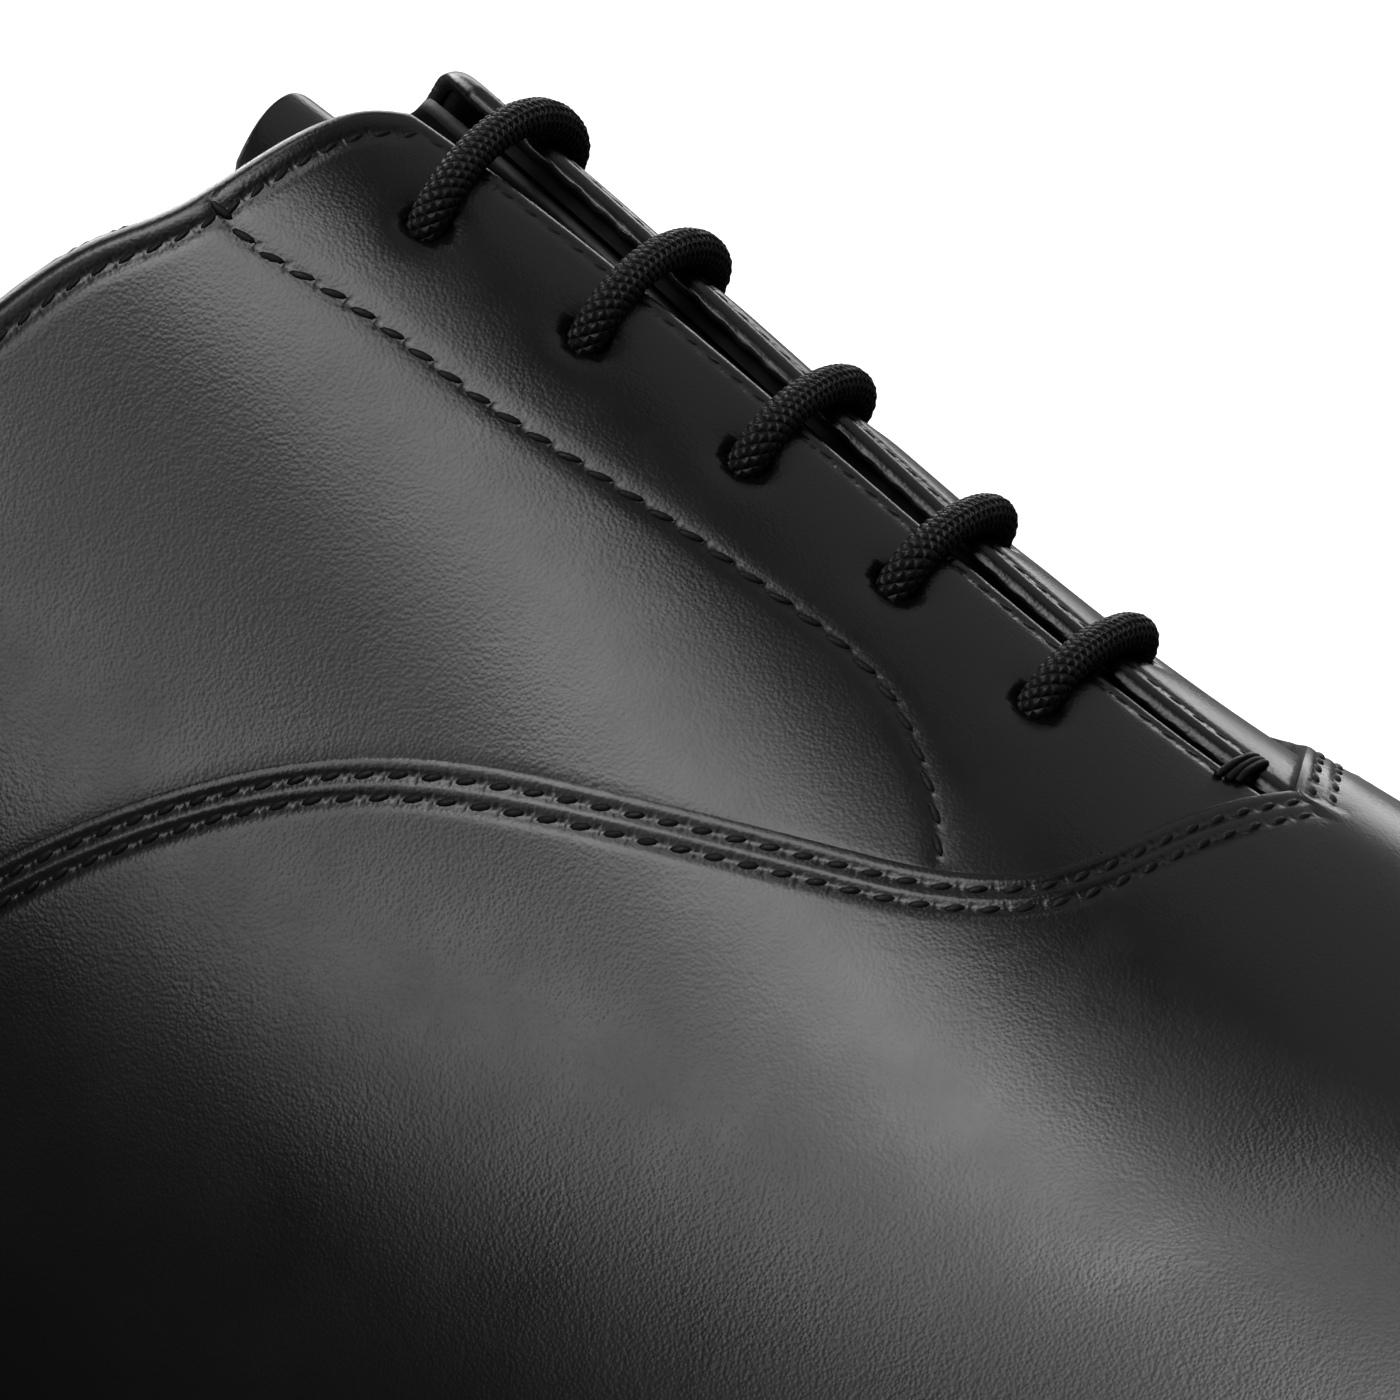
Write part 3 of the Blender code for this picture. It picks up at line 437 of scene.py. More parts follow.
def add_bump(tree, shader, heights):
    """Stack bumps of (height socket, depth in millimetres) on a shader."""
    previous = None
    for height, depth in heights:
        bump = add_node(tree, "Bump", {"Strength": 1.0, "Distance": depth * MM})
        tree.links.new(height, bump.inputs["Height"])
        if previous:
            tree.links.new(previous, bump.inputs["Normal"])
        previous = bump.outputs["Normal"]
    tree.links.new(previous, shader.inputs["Normal"])


def noise_height(tree, scale, stretch=(1, 1, 1), detail=3.0):
    """Noise with a given number of waves in a metre, stretched along the axes."""
    coords = add_node(tree, "TexCoord").outputs["Object"]
    mapping = add_node(tree, "Mapping", {"Scale": stretch})
    noise = add_node(tree, "TexNoise", {"Scale": scale, "Detail": detail})
    tree.links.new(coords, mapping.inputs["Vector"])
    tree.links.new(mapping.outputs[0], noise.inputs["Vector"])
    return noise.outputs["Fac"]


# %% Leathers
def leather(name, colour, roughness, cell=0.42, depth=0.03, coat=0.0, creases=0.0, sewn=0.0, **plain):
    material, tree, shader = new_material(name, colour, roughness, coat=coat, **plain)
    heights = [(group_value(tree, pebble_grain, "Height", Cell=cell), depth)]
    if creases:
        place = add_node(tree, "SeparateXYZ")
        tree.links.new(add_node(tree, "TexCoord").outputs["Object"], place.inputs[0])
        ankle = add_node(tree, "MapRange", {"From Min": -.03, "From Max": -.07})
        tree.links.new(place.outputs["X"], ankle.inputs["Value"])
        wrinkled = maths(tree, "MULTIPLY", noise_height(tree, 330, (1, 1, 4.5), 5.0), ankle.outputs["Result"])
        heights.append((wrinkled, creases))
    if sewn:
        heights.append((group_value(tree, stitch_holes, "Height"), sewn))
    add_bump(tree, shader, heights)
    return material


black_calf = leather("black_calf", (.0028, .0028, .0031), .29, cell=.27, depth=.013, creases=.008, sewn=.06)
calf_edge = leather("calf_edge", (.006, .005, .005), .62, cell=.25, depth=.05)
lining_leather = leather("lining_leather", (.36, .24, .14), .58, cell=.6, depth=.03)
black_lining = leather("black_lining", (.012, .011, .011), .6, cell=.5, depth=.03)
suede = leather("heel_grip_suede", (.022, .020, .019), .9, cell=.2, depth=.06, Sheen_Weight=.3)
insole_leather = leather("insole_leather", (.46, .32, .19), .65, cell=.5, depth=.03)
sock_leather = leather("sock_leather", (.34, .22, .13), .5, cell=.5, depth=.02)
welt_leather = leather("welt_leather", (.010, .009, .009), .46, cell=.35, depth=.03, coat=.1)
sole_leather = leather("sole_leather", (.20, .115, .06), .52, cell=.45, depth=.03)
sole_edge = leather("sole_edge", (.009, .008, .008), .36, cell=.5, depth=.02, coat=.25, Coat_Roughness=.2)

# %% Cotton, thread and tape
# The braid's height comes from the cord's own map, so the diamonds follow every bend.
BRAID_AROUND = 7.0


def braided(name, colour, roughness, cells_along):
    material, tree, shader = new_material(name, colour, roughness, Sheen_Weight=.03, Specular_IOR_Level=.3)
    add_bump(tree, shader, [(group_value(tree, braid, "Height", Along=cells_along, Around=BRAID_AROUND), .22),
                            (noise_height(tree, 9000), .03)])
    return material


waxed_cotton = braided("waxed_cotton", (.004, .004, .0055), .42, 1.0)
thread, tree, shader = new_material("thread", (.004, .004, .0045), .5, mottle=(1.5, .7, 1.4),
                                    Specular_IOR_Level=.2)
add_bump(tree, shader, [(noise_height(tree, 5000), .04)])
stay_tape, tree, shader = new_material("stay_tape", (.016, .016, .016), .85)
weave = [add_node(tree, "TexWave", {"Scale": 260.0}, bands_direction=way).outputs["Fac"] for way in "XZ"]
add_bump(tree, shader, [(maths(tree, "MAXIMUM", *weave), .12)])

# %% The other materials
cork, tree, shader = new_material("cork", (.30, .18, .09), .9, mottle=(2.0, .55, 1.3))
add_bump(tree, shader, [(noise_height(tree, 700), .3)])
fibre, tree, shader = new_material("stiffener_fibre", (.50, .45, .37), .8)
add_bump(tree, shader, [(noise_height(tree, 1800, (1, 1, 3)), .06)])
steel, tree, shader = new_material("steel", (.50, .50, .51), .34, metallic=1.0, mottle=(3.0, .8, 1.2))
add_bump(tree, shader, [(noise_height(tree, 2500, (.1, 1, 1)), .02)])
rubber, tree, shader = new_material("heel_rubber", (.012, .012, .012), .62)
add_bump(tree, shader, [(noise_height(tree, 2200), .05)])
tip_plastic, tree, shader = new_material("lace_tip_plastic", (.008, .008, .009), .22)
add_bump(tree, shader, [(noise_height(tree, 600), .02)])
print("materials:", len(bpy.data.materials))

# %% [markdown]
# ## Working on the last
# Each leather is a flat grid bent onto the last, the way a cut piece is pulled over it. The
# grid's columns stand at stations and its rows at shares of the section, and both crowd
# together where there is more to show. Solidify gives the skin its thickness inwards.

# %% Stations and rows
ROUND_STEP = 0.165


def stations(start, end, pitch, close=()):
    """Stations from start to end, closer near the last's round ends and in the close spans."""
    found = [start]
    while found[-1] < end - 1e-6:
        x = found[-1]
        reach = min(x - LAST_BACK, LAST_TOE - x)
        steps = [pitch] + [fine for low, high, fine in close if low <= x < high]
        steps.append(max(ROUND_STEP * math.sqrt(max(reach, 0)) * 1.3, .02))
        found.append(min(x + min(steps), end))
    return np.array(found)


def rows_to_edge(wide, fine, share):
    """Row shares from 0 to 1: wide ones first, then fine ones over the last share."""
    return np.concatenate([np.linspace(0, 1 - share, wide, endpoint=False), np.linspace(1 - share, 1, fine)])


# %% A grid bent to places
def bend_grid(bm, places, flip=False, uv=None, marks=None):
    """Bend a flat grid so that vertex (column, row) lies at places[column, row]."""
    columns, rows = places.shape[:2]
    layers = [(bm.verts.layers.float_vector.get(name) or bm.verts.layers.float_vector.new(name), values)
              for name, values in (marks or {}).items()]
    made = bmesh.ops.create_grid(bm, x_segments=columns - 1, y_segments=rows - 1, size=1)["verts"]
    index = {}
    for vert in made:
        column = round((vert.co.x + 1) / 2 * (columns - 1))
        row = round((vert.co.y + 1) / 2 * (rows - 1))
        index[vert] = column, row
        for layer, values in layers:
            vert[layer] = values[column, row]
        vert.co = places[column, row]
    faces = list({face for vert in made for face in vert.link_faces})
    if uv is not None:
        layer = bm.loops.layers.uv.verify()
        for face in faces:
            for loop in face.loops:
                loop[layer].uv = uv[index[loop.vert]]
    if flip:
        bmesh.ops.reverse_faces(bm, faces=faces)
    return made


def new_piece(name, bm, materials, stands_for=(), body="shoe", merge=.004):
    """Finish a bmesh in millimetres as a piece in metres that rides on a body."""
    if merge:
        bmesh.ops.remove_doubles(bm, verts=bm.verts[:], dist=merge)
        bmesh.ops.dissolve_degenerate(bm, edges=bm.edges[:], dist=merge / 2)
    bm.transform(Matrix.Scale(MM, 4) @ Matrix.Translation(Vector(SHIFT)))
    mesh = bpy.data.meshes.new(name)
    bm.to_mesh(mesh)
    bm.free()
    mesh.shade_smooth()
    for material in materials:
        mesh.materials.append(material)
    piece = bpy.data.objects.new(name, mesh)
    bpy.context.scene.collection.objects.link(piece)
    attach(piece, body)
    if stands_for:
        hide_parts(*stands_for)
    print(f"{name}: {len(mesh.polygons)} faces")
    return piece


def thicken(piece, thickness, edge_slot=0, round_edge=0.0):
    """Give an open skin its thickness, inwards, and soften the cut edge."""
    wall = piece.modifiers.new("thickness", "SOLIDIFY")
    wall.thickness = thickness * MM
    wall.offset = -1
    wall.material_offset_rim = edge_slot
    if round_edge:
        soften = piece.modifiers.new("edge", "BEVEL")
        soften.width = round_edge * MM
        soften.segments = 2
        soften.limit_method = "ANGLE"
        soften.angle_limit = math.radians(50)
        soften.use_clamp_overlap = True


# %% [markdown]
# ## Pattern lines
# The pattern cutter draws the pieces on the last: the topline round the ankle, the curved
# vamp seam, the facings that meet over the tongue, and the straight line of the toe cap. The
# vamp lies over the quarters, which makes this an oxford.

# %% Pattern lines
TOPLINE = ((8, .556), (20, .533), (40, .486), (60, .471), (75, .494), (88, .553), (97, .621), (104.4, .699),
           (109.9, .757), (115.7, .818), (118.6, .872), (121.7, .930), (124, .956))
VAMP_SEAM = ((80, 0), (85, .14), (93, .27), (102, .375), (111, .449), (124.6, .539), (136.7, .607),
             (151.4, .669), (168.2, .739), (177.3, .790), (181.8, .848), (185.5, .945), (187.5, 1),
             (192, 1.15), (200, 1.5))
LINING_SEAM = ((148, 0), (160, .35), (175, .62), (186, .85), (191, 1))
TONGUE_EDGE = ((115.6, .88), (117, .81), (120, .765), (126, .745), (160, .80), (185, .88), (192, .90))
TONGUE_TOP, TONGUE_BASE = 115.6, 192.0
FACING_TOP, THROAT = 124.0, 187.5
GAP_TOP, GAP_THROAT = .044, .006
CAP_SEAM, CAP_UNDERLAY = 236.0, 8.0
EYELET_STATIONS = (128.6, 139.9, 151.3, 162.2, 172.8)
EYELET_SHARES = (.884, .896, .908, .916, .918)
topline, vamp_seam = curve_through(TOPLINE), curve_through(VAMP_SEAM)
lining_seam, tongue_edge = curve_through(LINING_SEAM), curve_through(TONGUE_EDGE)


def facing_edge(x):
    share = np.clip((x - FACING_TOP) / (THROAT - FACING_TOP), 0, 1)
    return 1 - (GAP_THROAT + (GAP_TOP - GAP_THROAT) * (1 - share) ** 2)


def quarter_top(x):
    return np.where(x < FACING_TOP, topline(x), facing_edge(x))


def quarter_low(x):
    lap = .03 + .07 * np.clip((x - 84) / 21, 0, 1)
    return np.where(x < 83, 0.0, np.clip(vamp_seam(x) - lap, .02, .985))


def vamp_top(x):
    return np.clip(vamp_seam(x), 0, 1)


# %% Lines beside a pattern line
def inset(x, v, side, distance):
    """The line (x, v) moved sideways over the last, towards smaller shares."""
    step_x, step_v = .05, 5e-4
    place = surface(x, v, side)
    by_x = (surface(x + step_x, v, side) - surface(x - step_x, v, side)) / (2 * step_x)
    by_v = (surface(x, v + step_v, side) - surface(x, v - step_v, side)) / (2 * step_v)
    along = np.gradient(place, axis=0)
    across = np.cross(along, raw_normal(x, v, side))
    across /= np.linalg.norm(across, axis=-1, keepdims=True)
    across *= -np.sign((across * by_v).sum(-1, keepdims=True))
    xx, xv, vv = (by_x * by_x).sum(-1), (by_x * by_v).sum(-1), (by_v * by_v).sum(-1)
    px, pv = (by_x * across).sum(-1), (by_v * across).sum(-1)
    det = xx * vv - xv * xv
    return x + distance * (px * vv - pv * xv) / det, v + distance * (pv * xx - px * xv) / det


def drawn(points, count=400):
    """A smooth line through given (station, share) points, as two arrays."""
    points = np.array(points, float)
    reach = np.concatenate([[0], np.cumsum(np.hypot(np.diff(points[:, 0]), np.diff(points[:, 1]) * 90))])
    at = np.linspace(0, reach[-1], count)
    return tuple(curve_through(list(zip(reach, points[:, i])))(at) for i in range(2))

# %% [markdown]
# ## Seams
# Thread is what makes a leather shoe look sewn. Each stitch is a short, slightly turned bead
# of thread lying in a shallow groove. The lines are kept here so that the leathers can be
# pressed in along them, and the threads are made once the leathers are on.

# %% Stitch lines
FACE = 3.8                    # the outer face of the leathers above the last
LIFT = 1.0                    # how far an overlapping leather lies above the one under it
UPPER_FACE = FACE + LIFT
VAMP_ROWS = (1.15, 2.65)      # stitch rows in from the vamp's edge
TOP_ROW, EDGE_ROW = 2.4, 1.5  # rows in from the topline and from the facing edge
CAP_ROWS = (1.3, 2.9)
VAMP_PITCH, FACING_PITCH, EDGE_PITCH = 2.3, 2.45, 2.0
SEAM_PRESS, SEAM_WIDTH = .2, .6   # how deep and how wide a seam sinks into the lapped leathers
FACING_ROW = ((116.2, .812), (118.5, .804), (125.1, .806), (136.1, .811), (147.4, .828), (158.7, .844),
              (163.5, .846), (166.5, .838), (169.7, .816), (171.6, .797), (173.1, .774))
seam_x = np.concatenate([np.linspace(84.6, 180, 300), np.linspace(180.1, THROAT, 120)])
vamp_rows = {side: [inset(seam_x, vamp_top(seam_x), side, d) for d in VAMP_ROWS] for side, _ in SIDES}
top_x = np.concatenate([np.linspace(11, 112, 330), np.linspace(112.1, 123.6, 100)])
edge_x = np.linspace(125.4, 184, 260)
top_rows = {side: inset(top_x, topline(top_x), side, TOP_ROW) for side, _ in SIDES}
edge_rows = {side: inset(edge_x, facing_edge(edge_x), side, EDGE_ROW) for side, _ in SIDES}
rim_rows = {side: tuple(np.concatenate(pair) for pair in zip(top_rows[side], edge_rows[side]))
            for side, _ in SIDES}
facing_rows = {side: drawn(FACING_ROW) for side, _ in SIDES}
cap_v = np.linspace(.02, 1, 300)
cap_rows = {side: [(np.full(300, CAP_SEAM + d), cap_v) for d in CAP_ROWS] for side, _ in SIDES}


# %% Distances over the leather
def reach_along(points):
    """The distance along a line to each of its points."""
    return np.concatenate([[0], np.cumsum(np.linalg.norm(np.diff(points, axis=0), axis=-1))])


def paced(row, side, pitch):
    """A stitch row's places on the leather, the reach to each, and how many stitches it holds."""
    points = on_last(*row, side, FACE)
    reach = reach_along(points)
    return points, reach, int(reach[-1] / pitch)


def nearest_of(points, places):
    """For each place: which of the points is nearest, and how far away it is."""
    tree = KDTree(len(points))
    for i, point in enumerate(points):
        tree.insert(point, i)
    tree.balance()
    found = [tree.find(place)[1:] for place in places.reshape(-1, 3)]
    return [np.array(values).reshape(places.shape[:-1]) for values in zip(*found)]


def distance_to(points, places):
    return nearest_of(points, places)[1]


def row_map(row, side, pitch, places, out):
    """For each place: pitches along a stitch row, millimetres beside it, and 1 where the row passes."""
    points, reach, count = paced(row, side, pitch)
    ahead = np.gradient(points, axis=0)
    ahead /= np.linalg.norm(ahead, axis=-1, keepdims=True)
    nearest, far = nearest_of(points, places)
    offset, direction = places - points[nearest], ahead[nearest]
    along = reach[nearest] + (offset * direction).sum(-1)
    beside = (offset * np.cross(out, direction)).sum(-1)
    passes = (far < 3) & (along > -.3) & (along < reach[-1] + .3)
    return np.stack([along * count / reach[-1], beside, passes], -1)


def press(places, out, points, depth, width):
    """Sink places near the points along their normals, in a soft groove."""
    places -= out * (depth * np.exp(-(distance_to(points, places) / width) ** 2))[..., None]


# %% A leather on the last
def skin_grid(bm, x, shares, side, low, high, off, pressed=(), margin=None, sewn=()):
    """One side of a skin: rows from low(x) to high(x), with rows turned under where it is lasted."""
    bottom, top = low(x)[:, None], high(x)[:, None]
    v = bottom + (top - bottom) * shares[None, :]
    stations_2d = np.broadcast_to(x[:, None], v.shape)
    out = normal(stations_2d, v, side)
    places = surface(stations_2d, v, side) + out * off(stations_2d, v, side)[..., None]
    marks = {f"row_{i + 1}": row_map(row, side, pitch, places, out) for i, (row, pitch) in enumerate(sewn)}
    for points, depth, width in pressed:
        press(places, out, points, depth, width)
    if margin is not None:
        under = [feather(x, side, np.full(x.shape, spread), drop) for spread, drop in margin]
        places = np.concatenate([np.stack(under, 1), places], 1)
        blank = np.zeros((len(x), len(under), 3))
        marks = {name: np.concatenate([blank, values], 1) for name, values in marks.items()}
    bend_grid(bm, places, flip=side == MEDIAL, marks=marks)


def turned_under(face):
    """Where a lasted leather goes below the feather edge: down, round and in under the insole."""
    corner, depth = 2.6, 5.4
    arc = [(face - corner * (1 - math.sin(a)), -depth - corner * (math.cos(a) - 1) - corner)
           for a in np.linspace(0, math.pi / 2, 5)]
    return [(-5.0, -depth)] + [(s, d) for s, d in arc[:-1]] + [(face, -depth + 1.0), (face, -2.0)]


# %% [markdown]
# ## The vamp and the toe cap
# The vamp covers the front of the foot, and its edge is cut clean and left showing, about a
# millimetre thick. Beyond the lap with the quarters it lies down onto the last. The toe cap
# does the same over the vamp, with a straight edge.

# %% Vamp
LAP_SLOPE, LAP_FLAT = 34.0, 1.5   # the vamp comes down to the last over this width, past the flat lap
seam_places = {side: surface(seam_x, vamp_top(seam_x), side) for side, _ in SIDES}


def vamp_off(x, v, side):
    to_edge = distance_to(seam_places[side], surface(x, v, side))
    worn = .16 * np.clip(1 - to_edge / .9, 0, 1) ** 2
    return FACE + LIFT * (1 - smooth((to_edge - LAP_FLAT) / LAP_SLOPE)) - worn


vamp_x = stations(84.0, CAP_SEAM + CAP_UNDERLAY, .74, ((176, 189, .34), (84, 92, .45)))
bm = bmesh.new()
for side, word in SIDES:
    grooves = [(on_last(*row, side, UPPER_FACE), SEAM_PRESS, SEAM_WIDTH) for row in vamp_rows[side]]
    skin_grid(bm, vamp_x, rows_to_edge(38, 34, .08), side, constant(0), vamp_top, vamp_off, grooves,
              turned_under(FACE), [(row, VAMP_PITCH) for row in vamp_rows[side]])
vamp = new_piece("vamp_leather", bm, [black_calf, calf_edge], ["vamp"], merge=.03)
thicken(vamp, 1.1, edge_slot=1, round_edge=.22)


# %% Toe cap
def cap_off(x, v, side):
    worn = .15 * (1 - smooth((x - CAP_SEAM) / 1.5))
    return FACE + LIFT * (1 - smooth((x - (CAP_SEAM + CAP_UNDERLAY)) / 9)) - worn


cap_x = stations(CAP_SEAM, LAST_TOE, .7, ((CAP_SEAM, CAP_SEAM + 5, .3),))
bm = bmesh.new()
for side, word in SIDES:
    grooves = [(on_last(*row, side, UPPER_FACE), SEAM_PRESS, SEAM_WIDTH) for row in cap_rows[side]]
    skin_grid(bm, cap_x, np.linspace(0, 1, 84), side, constant(0), constant(1), cap_off, grooves,
              turned_under(FACE), [(row, VAMP_PITCH) for row in cap_rows[side]])
cap = new_piece("toe_cap_leather", bm, [black_calf, calf_edge], ["toe_cap"], merge=.03)
thicken(cap, 1.1, edge_slot=1, round_edge=.22)

# %% [markdown]
# ## The quarters
# The two quarters wrap the sides and the heel. Along the ankle and the facings their edge is
# folded over, so it rolls inwards in a soft bead. The eyelets are only punched, with no metal
# ring, and the leather round each is drawn in a little by the lace.

# %% Quarter shape
ROLL = 1.3
fold_x = np.concatenate([np.linspace(LAST_BACK, 112, 500), np.linspace(112, 126, 300),
                         np.linspace(126, 191, 300)])
fold_places = {side: surface(fold_x, quarter_top(fold_x), side) for side, _ in SIDES}


def quarter_off(x, v, side):
    """Outer face, rolled in over the last stretch before the folded edge."""
    to_edge = distance_to(fold_places[side], surface(x, v, side))
    bead = np.clip(1 - to_edge / ROLL, 0, 1)
    under_vamp = smooth((vamp_seam(x) - v + .006) / .02) * (x > 84)
    return FACE - ROLL * (1 - np.sqrt(1 - np.minimum(bead, .995) ** 2)) - .25 * under_vamp


def eyelet_place(i, side, off=FACE):
    return on_last(EYELET_STATIONS[i], EYELET_SHARES[i], side, off)


def punch(bm, centre, out, radius):
    """Open a round hole in a fine skin: clear it, then draw its edge onto a circle."""
    centre, out = Vector(centre), Vector(out)
    cleared = [face for face in bm.faces if (face.calc_center_median() - centre).length < radius]
    rim = {vert for face in cleared for vert in face.verts}
    bmesh.ops.delete(bm, geom=cleared, context="FACES")
    for vert in (v for v in rim if v.is_valid and v.is_boundary):
        flat = vert.co - centre
        flat -= out * flat.dot(out)
        vert.co = centre + flat.normalized() * radius + out * (vert.co - centre).dot(out)


# %% Quarters
quarter_x = stations(station(.002), 191.0, .72, ((108, 127, .3), (80, 86, .4)))
EYELET_RADIUS = 1.42
for side, word in SIDES:
    bm = bmesh.new()
    rows = [(top_rows[side], .16, .7), (edge_rows[side], .1, .6), (facing_rows[side], .12, .7)]
    grooves = [(on_last(*row, side, FACE), depth, width) for row, depth, width in rows]
    grooves.append(([eyelet_place(i, side) for i in range(5)], .5, 2.0))
    skin_grid(bm, quarter_x, rows_to_edge(60, 46, .2), side, quarter_low, quarter_top, quarter_off, grooves,
              sewn=[(rim_rows[side], EDGE_PITCH), (facing_rows[side], FACING_PITCH)])
    for i in range(5):
        out = normal(EYELET_STATIONS[i], EYELET_SHARES[i], side)
        punch(bm, eyelet_place(i, side, FACE - .5), out, EYELET_RADIUS)
    piece = new_piece("quarter_leather_" + word, bm, [black_calf, calf_edge],
                      ["quarter_" + word], merge=.01)
    thicken(piece, 1.1, edge_slot=1)

# %% Back strip
strip_x = stations(LAST_BACK, station(.075), .4)
bm = bmesh.new()
for side, word in SIDES:
    skin_grid(bm, strip_x, np.linspace(0, 1, 70), side, constant(0), lambda x: topline(x) - .006,
              lambda x, v, side: FACE + LIFT - .35 * smooth((x - station(.066)) / .8) + 0 * v, (),
              turned_under(FACE + LIFT)[3:])
strip = new_piece("back_strip_leather", bm, [black_calf, calf_edge], ["back_strip"], merge=.03)
thicken(strip, 1.0, edge_slot=1, round_edge=.2)

# %% [markdown]
# ## Lining and tongue
# Inside, the shoe is lined with natural leather, and a suede grip holds the heel. The
# tongue hangs under the facings. It is black outside and lined like the rest, and it swings
# on its sewn base, so it rides on its own body.

# %% Linings
lining_x = stations(38.0, 189.5, 1.1, ((108, 127, .4),))
for side, word in SIDES:
    bm = bmesh.new()
    skin_grid(bm, lining_x, rows_to_edge(40, 14, .15), side,
              lambda x: np.where(x > 148, np.clip(lining_seam(x) + .016, 0, .98), 0.0),
              lambda x: quarter_top(x) - .006, constant(.9),
              [([eyelet_place(i, side, .9) for i in range(5)], .3, 2.0)])
    for i in range(5):
        out = normal(EYELET_STATIONS[i], EYELET_SHARES[i], side)
        punch(bm, eyelet_place(i, side, .8), out, EYELET_RADIUS)
    piece = new_piece("quarter_lining_leather_" + word, bm, [black_lining],
                      ["quarter_lining_" + word], merge=.01)
    thicken(piece, .9)

grip_x = stations(LAST_BACK, 39.3, 1.0)
bm = bmesh.new()
for side, word in SIDES:
    skin_grid(bm, grip_x, np.linspace(0, 1, 50), side, constant(0), lambda x: topline(x) - .006,
              constant(1.0))
grip = new_piece("heel_grip_suede", bm, [suede], ["heel_grip"], merge=.03)
thicken(grip, 1.0, round_edge=.2)

front_x = stations(149.6, LAST_TOE, 1.4)
bm = bmesh.new()
for side, word in SIDES:
    skin_grid(bm, front_x, np.linspace(0, 1, 50), side, constant(0),
              lambda x: np.clip(lining_seam(x), 0, 1), constant(.9))
vamp_lining = new_piece("vamp_lining_leather", bm, [lining_leather], ["vamp_lining"],
                        merge=.03)
thicken(vamp_lining, .9)

# %% Tongue
TONGUE_FACE, TONGUE_LIFT = -4.2, 3.2
tongue_x = stations(TONGUE_TOP, TONGUE_BASE, .9, ((TONGUE_TOP, 121, .3),))


def tongue_off(face):
    def off(x, v, side):
        return face + TONGUE_LIFT * smooth((x - 175) / 13) + 0 * v
    return off


for name, finish, slot, node, face, thick in (
        ("tongue_leather", black_calf, "black_calf", "tongue", TONGUE_FACE, 1.2),
        ("tongue_lining_leather", black_lining, "black_lining", "tongue_lining", TONGUE_FACE - 1.25, .9)):
    bm = bmesh.new()
    for side, word in SIDES:
        skin_grid(bm, tongue_x, np.linspace(0, 1, 26), side, lambda x: np.clip(tongue_edge(x), 0, 1),
                  constant(1), tongue_off(face))
    piece = new_piece(name, bm, [finish], [node], body="tongue", merge=.03)
    thicken(piece, thick, round_edge=.25)

# %% [markdown]
# ## The bottom
# Under the upper come the welt, which is sewn round the front, the rand round the heel, the
# outsole and the stacked heel. Each is the same outline at its own spread, so one profile
# bent along the outline makes the strips, and a closed section makes the plates.

# %% Sizes of the bottom
SOLE_SPREAD = ((8, 5.0), (60, 5.2), (110, 5.6), (160, 7.2), (205, 8.2), (298, 8.0))
WELT, OUTSOLE, SOCK = (-4.4, -7.1), (-7.25, -12.4), (1.2, 0.3)
HEEL_BREAST = 78.0
HEEL_LEVELS = ((14.9, None), (10.6, 14.8), (6.3, 10.5), (0.0, 6.2))
HEEL_SPREAD = (4.8, 4.2, 3.6, 3.0)
STRIP_INNER = 3.5             # the inner edge of the welt and the rand, out from the feather edge
sole_spread = curve_through(SOLE_SPREAD)
GROUND = -SHIFT[2]


# %% Strips and plates
def closed_grid(places):
    """A grid bent into a closed section, its ends capped and its faces turned outwards."""
    bm = bmesh.new()
    bend_grid(bm, places)
    bmesh.ops.remove_doubles(bm, verts=bm.verts[:], dist=.01)
    bmesh.ops.holes_fill(bm, edges=[edge for edge in bm.edges if edge.is_boundary], sides=0)
    bmesh.ops.recalc_face_normals(bm, faces=bm.faces[:])
    return bm


def plate(name, x, spread, top, bottom, radius, materials, stands_for, across=9):
    """A flat piece of the bottom: a closed section at every station, ends capped."""
    turn = np.linspace(0, math.pi / 2, 5)
    ring = []
    for sign, side in ((1, MEDIAL), (-1, LATERAL)):
        steps = [(radius * (1 - math.sin(a)), 0, radius * (1 - math.cos(a))) for a in turn]
        steps += [(radius * (1 - math.cos(a)), 1, radius * (1 - math.sin(a))) for a in turn]
        steps = steps if sign > 0 else steps[::-1]
        for inwards, low, reach in steps:
            place = feather(x, side, spread(x) - inwards, 0.0)
            level_x = place[:, 0]
            place[:, 2] = np.where(low, bottom(level_x) + reach, top(level_x) - reach)
            ring.append(place)
    half = len(ring) // 2

    def between(a, b):
        return [a + (b - a) * s for s in np.linspace(0, 1, across)[1:-1]]

    under, over = between(ring[half - 1], ring[half]), between(ring[-1], ring[0])
    for row in under:
        row[:, 2] = bottom(row[:, 0])
    for row in over:
        row[:, 2] = top(row[:, 0])
    loop = ring[:half] + under + ring[half:] + over
    places = np.stack(loop + loop[:1], 1)
    bm = closed_grid(places)
    for face in bm.faces:
        if len(materials) > 1 and face.normal.z < -.8:
            face.material_index = 1
    return new_piece(name, bm, materials, stands_for, merge=.01)


def level(drop):
    return lambda x: feather_height(x) + drop


whole = stations(LAST_BACK, LAST_TOE, 1.5)
plate("sole_leather_outsole", whole, sole_spread, level(OUTSOLE[0]), level(OUTSOLE[1]), .9,
      [sole_edge, sole_leather], ["outsole"])
plate("sock_leather_liner", whole, constant(-1.1), level(SOCK[0]), level(SOCK[1]), .3,
      [sock_leather], ["sock_liner"])

